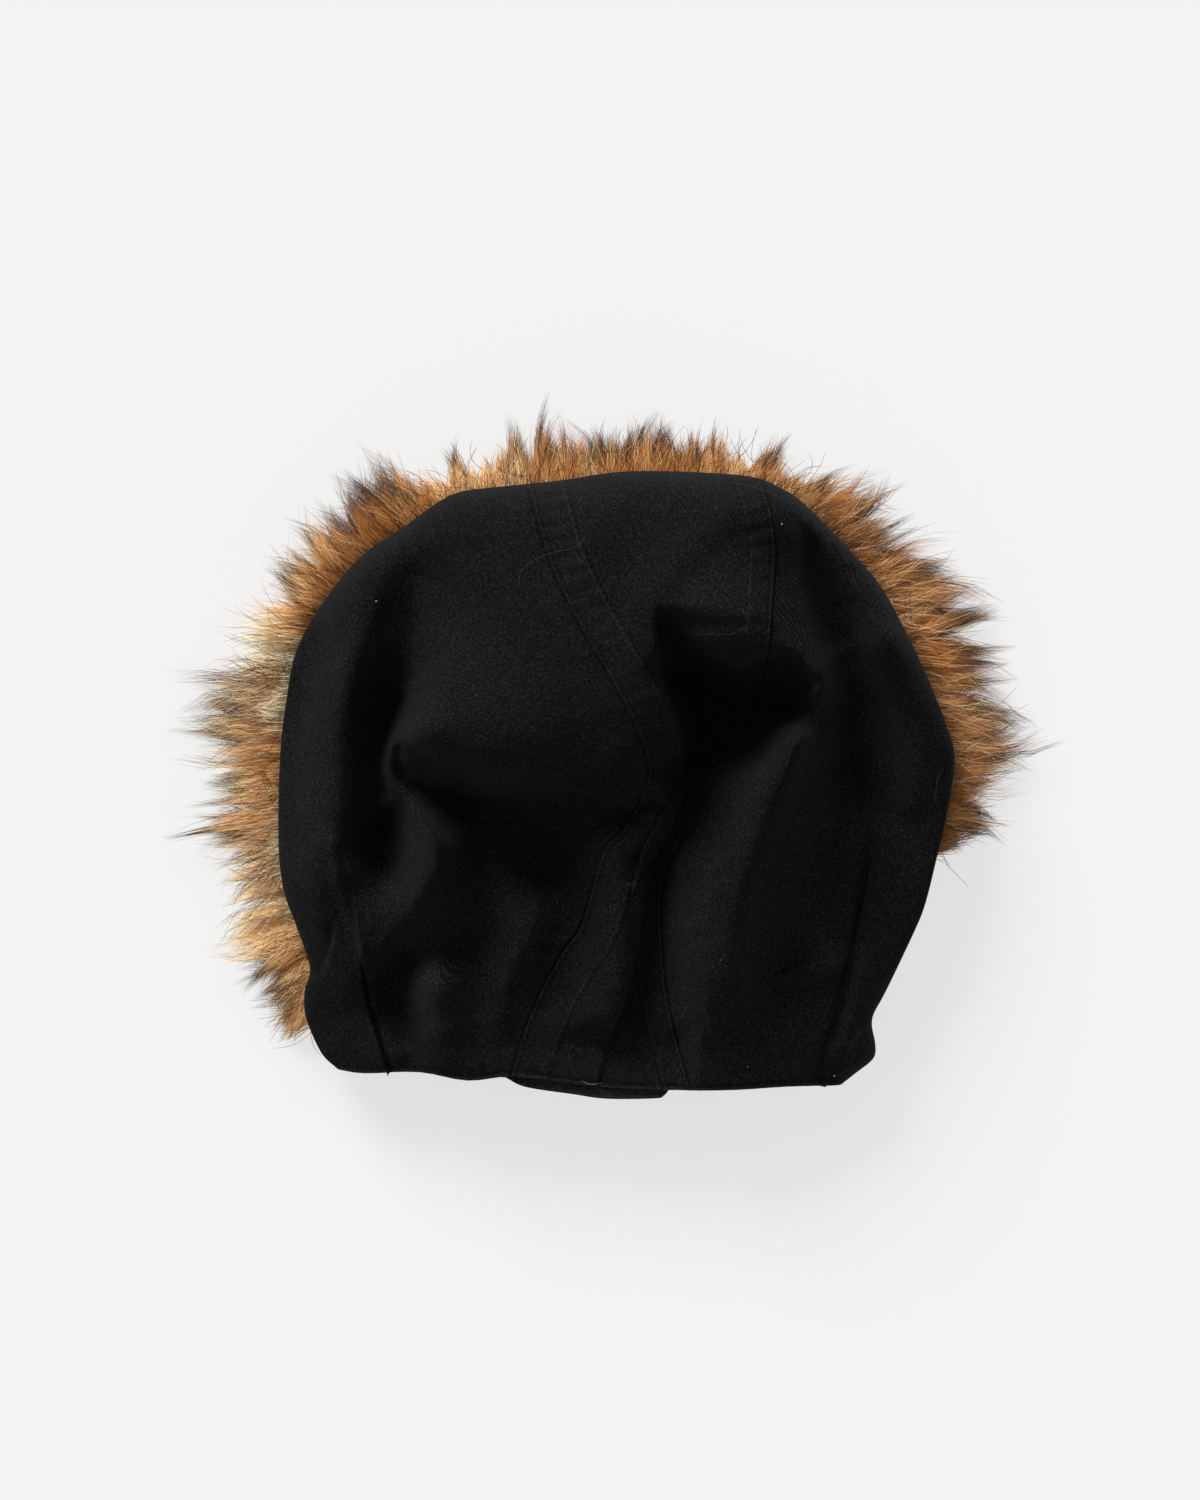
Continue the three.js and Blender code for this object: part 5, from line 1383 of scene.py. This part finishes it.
def build_stitches(name):
    """The stitch rows beside both seams, along the hem and round the tab."""
    hem_row = offset_line(hem, -HEM_STITCH)
    left_x, right_x = left_plan[0, 0], right_plan[0, 0]
    middle = (hem_row[:, 0] > left_x + 1) & (hem_row[:, 0] < right_x - 1)
    rows = [
        (offset_line(left_plan, SEAM_STITCH), "centre"),
        (offset_line(left_plan, STRIP_LEFT - STRIP_STITCH), "centre"),
        (offset_line(right_plan, -SEAM_STITCH), "centre"),
        (offset_line(right_plan, STRIP_STITCH - STRIP_RIGHT), "centre"),
        (hem_row[hem_row[:, 0] < left_x - 1], "side"),
        (hem_row[middle], "centre"),
        (hem_row[hem_row[:, 0] > right_x + 1], "side"),
    ]
    made = [stitches(line, lambda x, y: surface_at(x, y, side)) for line, side in rows]
    round_tab = offset_line(tab_line, -HEM_STITCH)[TAB_ENDS]
    made.append(stitches(round_tab, lambda x, y: np.full(x.shape, tab_face)))
    points = np.concatenate(made)
    faces = STITCH_FACES + (np.arange(len(points)) * 8)[:, None, None]
    return mesh_object(name, points.reshape(-1, 3) + SHIFT, faces.reshape(-1, 3))


dressed(build_stitches("stitch_rows"), thread_material("sewing_thread"))

# The tab's edge: distance in from the outline, and drop below the face as a share of the thickness.
TAB_PROFILE = [
    (0.0, 0.5), (0.12, 0.24), (0.4, 0.07), (1.2, 0.0), (1.8, 0.05), (HEM_STITCH, 0.14),
    (2.6, 0.05), (3.2, 0.0),
]


def build_tab(name):
    """The nape tab: two layers turned and stitched round, with rounded edges."""
    edge = evenly(tab_line, np.linspace(0, 1, 200))
    ring = np.vstack([edge, np.linspace(edge[-1], edge[0], 60)[1:-1]])
    d = np.roll(ring, -1, 0) - np.roll(ring, 1, 0)
    inward = left_of(d / np.maximum(np.linalg.norm(d, axis=-1, keepdims=True), 1e-9))
    spine_y = (TAB_TOP + np.interp(ring[:, 0], edge[TAB_ENDS, 0], edge[TAB_ENDS, 1])) / 2
    rings = []
    for inset, drop in TAB_PROFILE:
        z = np.full(len(ring), tab_face - drop * TAB_THICKNESS)
        rings.append(np.column_stack([ring + inward * inset, z]))
    rings.append(np.column_stack([
        np.clip(ring[:, 0], TAB_LEFT + 6, TAB_RIGHT - 6), spine_y, np.full(len(ring), tab_face)]))
    upper = np.stack(rings)
    upper[1:, :, 2] += 0.1 * waves(upper[1:, :, 0], upper[1:, :, 1], 9, 31)
    lower = upper[1:].copy()
    lower[..., 2] = 2 * tab_face - TAB_THICKNESS - lower[..., 2]
    g = np.concatenate([lower[::-1], upper])
    g = np.concatenate([g, g[:, :1]], 1) + SHIFT
    return mesh_object(name, g.reshape(-1, 3), grid_faces(*g.shape[:2]))


# The tab's cloth is painted paler than the panels: painted light where the hem's overhang shades it.
dressed(build_tab("tab_cloth_piece"), cloth_material("cloth_tab_painted_light", 8, -0.06), "nape_tab")

LINT_SECTIONS = 22


def build_lint(name):
    """Stray threads that lie on the cloth."""
    lines = []
    for _, _, rows in LINT:
        line = evenly(spline_through(millimetres(rows), 8), np.linspace(0, 1, LINT_SECTIONS))
        lines.append(np.column_stack([line, surface_at(line[:, 0], line[:, 1], "centre") + 0.35]))
    widths, tones = (np.array([[row[k]] for row in LINT]) for k in (0, 1))
    width = widths * (1 - 0.5 * np.linspace(-1, 1, LINT_SECTIONS) ** 4)
    values = {"tone": tones * np.ones((1, LINT_SECTIONS))}
    return ribbons(name, np.stack(lines), width, np.zeros(len(LINT)), values)


# A speck of dust: a small lump with six points.
SPECK = np.array([(1, 0.2, 0), (0.1, 1, 0.1), (-0.9, 0.1, 0), (0, -0.8, 0.1), (0.1, 0, 0.7), (0, 0, -0.7)])


def build_specks(name):
    """Small lumps of dust on the cloth."""
    x, y, half, tone = np.array(SPECKS).T
    x, y = x * HALF_WIDTH, y * HALF_LENGTH
    middle = np.stack([x, y, surface_at(x, y, "side") + half * 0.6], -1) + SHIFT
    faces = []
    for base in range(0, 6 * len(SPECKS), 6):
        faces.extend([base + i, base + (i + 1) % 4, base + 4] for i in range(4))
        faces.extend([base + (i + 1) % 4, base + i, base + 5] for i in range(4))
    points = SPECK * half[:, None, None] + middle[:, None]
    obj = mesh_object(name, points.reshape(-1, 3), faces)
    set_attribute(obj.data, "tone", np.repeat(tone, len(SPECK)))
    return obj


lint = lint_material("lint")
for piece in (build_lint("lint_threads"), build_specks("lint_specks")):
    dressed(piece, lint)

# Floor.
FLOOR_HALF = 3000
FLOOR_TOP = -0.3
corners = [(x * FLOOR_HALF, y * FLOOR_HALF, FLOOR_TOP) for x, y in ((-1, -1), (1, -1), (1, 1), (-1, 1))]
floor = mesh_object("floor", corners, [(0, 1, 2, 3)], None)
floor_material, _, floor_shader = new_material("floor", 1.0, 0.0)
floor_shader.inputs["Base Color"].default_value = (0.2, 0.2, 0.2, 1)
floor_shader.inputs["Emission Color"].default_value = (1, 1, 1, 1)
floor_shader.inputs["Emission Strength"].default_value = 0.69
floor.data.materials.append(floor_material)


def placed(name, data):
    obj = bpy.data.objects.new(name, data)
    bpy.context.scene.collection.objects.link(obj)
    return obj


# Light: one wide soft source from the upper left, and a pale surround.
LIGHT_WAY = Vector((0.407, -0.765, -0.5))
world = bpy.data.worlds.new("surround")
bpy.context.scene.world = world
world.use_nodes = True
world.node_tree.nodes["Background"].inputs["Color"].default_value = (1, 1, 1, 1)
world.node_tree.nodes["Background"].inputs["Strength"].default_value = 0.45
key_data = bpy.data.lights.new("key", "SUN")
key_data.energy = 3.7
key_data.angle = math.radians(26)
placed("key", key_data).rotation_euler = LIGHT_WAY.to_track_quat("-Z", "Y").to_euler()
bpy.context.scene.view_settings.view_transform = "Standard"

# Camera: straight above, framed as the photograph, whose pixels are measured at the fur's height.
CAMERA_HEIGHT = 3.0
CALIBRATED_AT = 0.035
PIXEL = 0.000498
PHOTO_SIZE = (1200, 1500)
ORIGIN_PIXEL = (616.5, 780)
camera_data = bpy.data.cameras.new("camera")
camera = placed("camera", camera_data)
bpy.context.scene.camera = camera
camera_data.sensor_fit = "VERTICAL"
camera_data.sensor_height = 36.0
camera_data.lens = 36.0 * (CAMERA_HEIGHT - CALIBRATED_AT) / (PHOTO_SIZE[1] * PIXEL)
camera_data.clip_end = 20
middle_x = (PHOTO_SIZE[0] / 2 - ORIGIN_PIXEL[0]) * PIXEL + SHIFT_X * MM
middle_y = (ORIGIN_PIXEL[1] - PHOTO_SIZE[1] / 2) * PIXEL + SHIFT_Y * MM
camera.location = (middle_x, middle_y, CAMERA_HEIGHT)
camera.rotation_euler = (0, 0, 0)
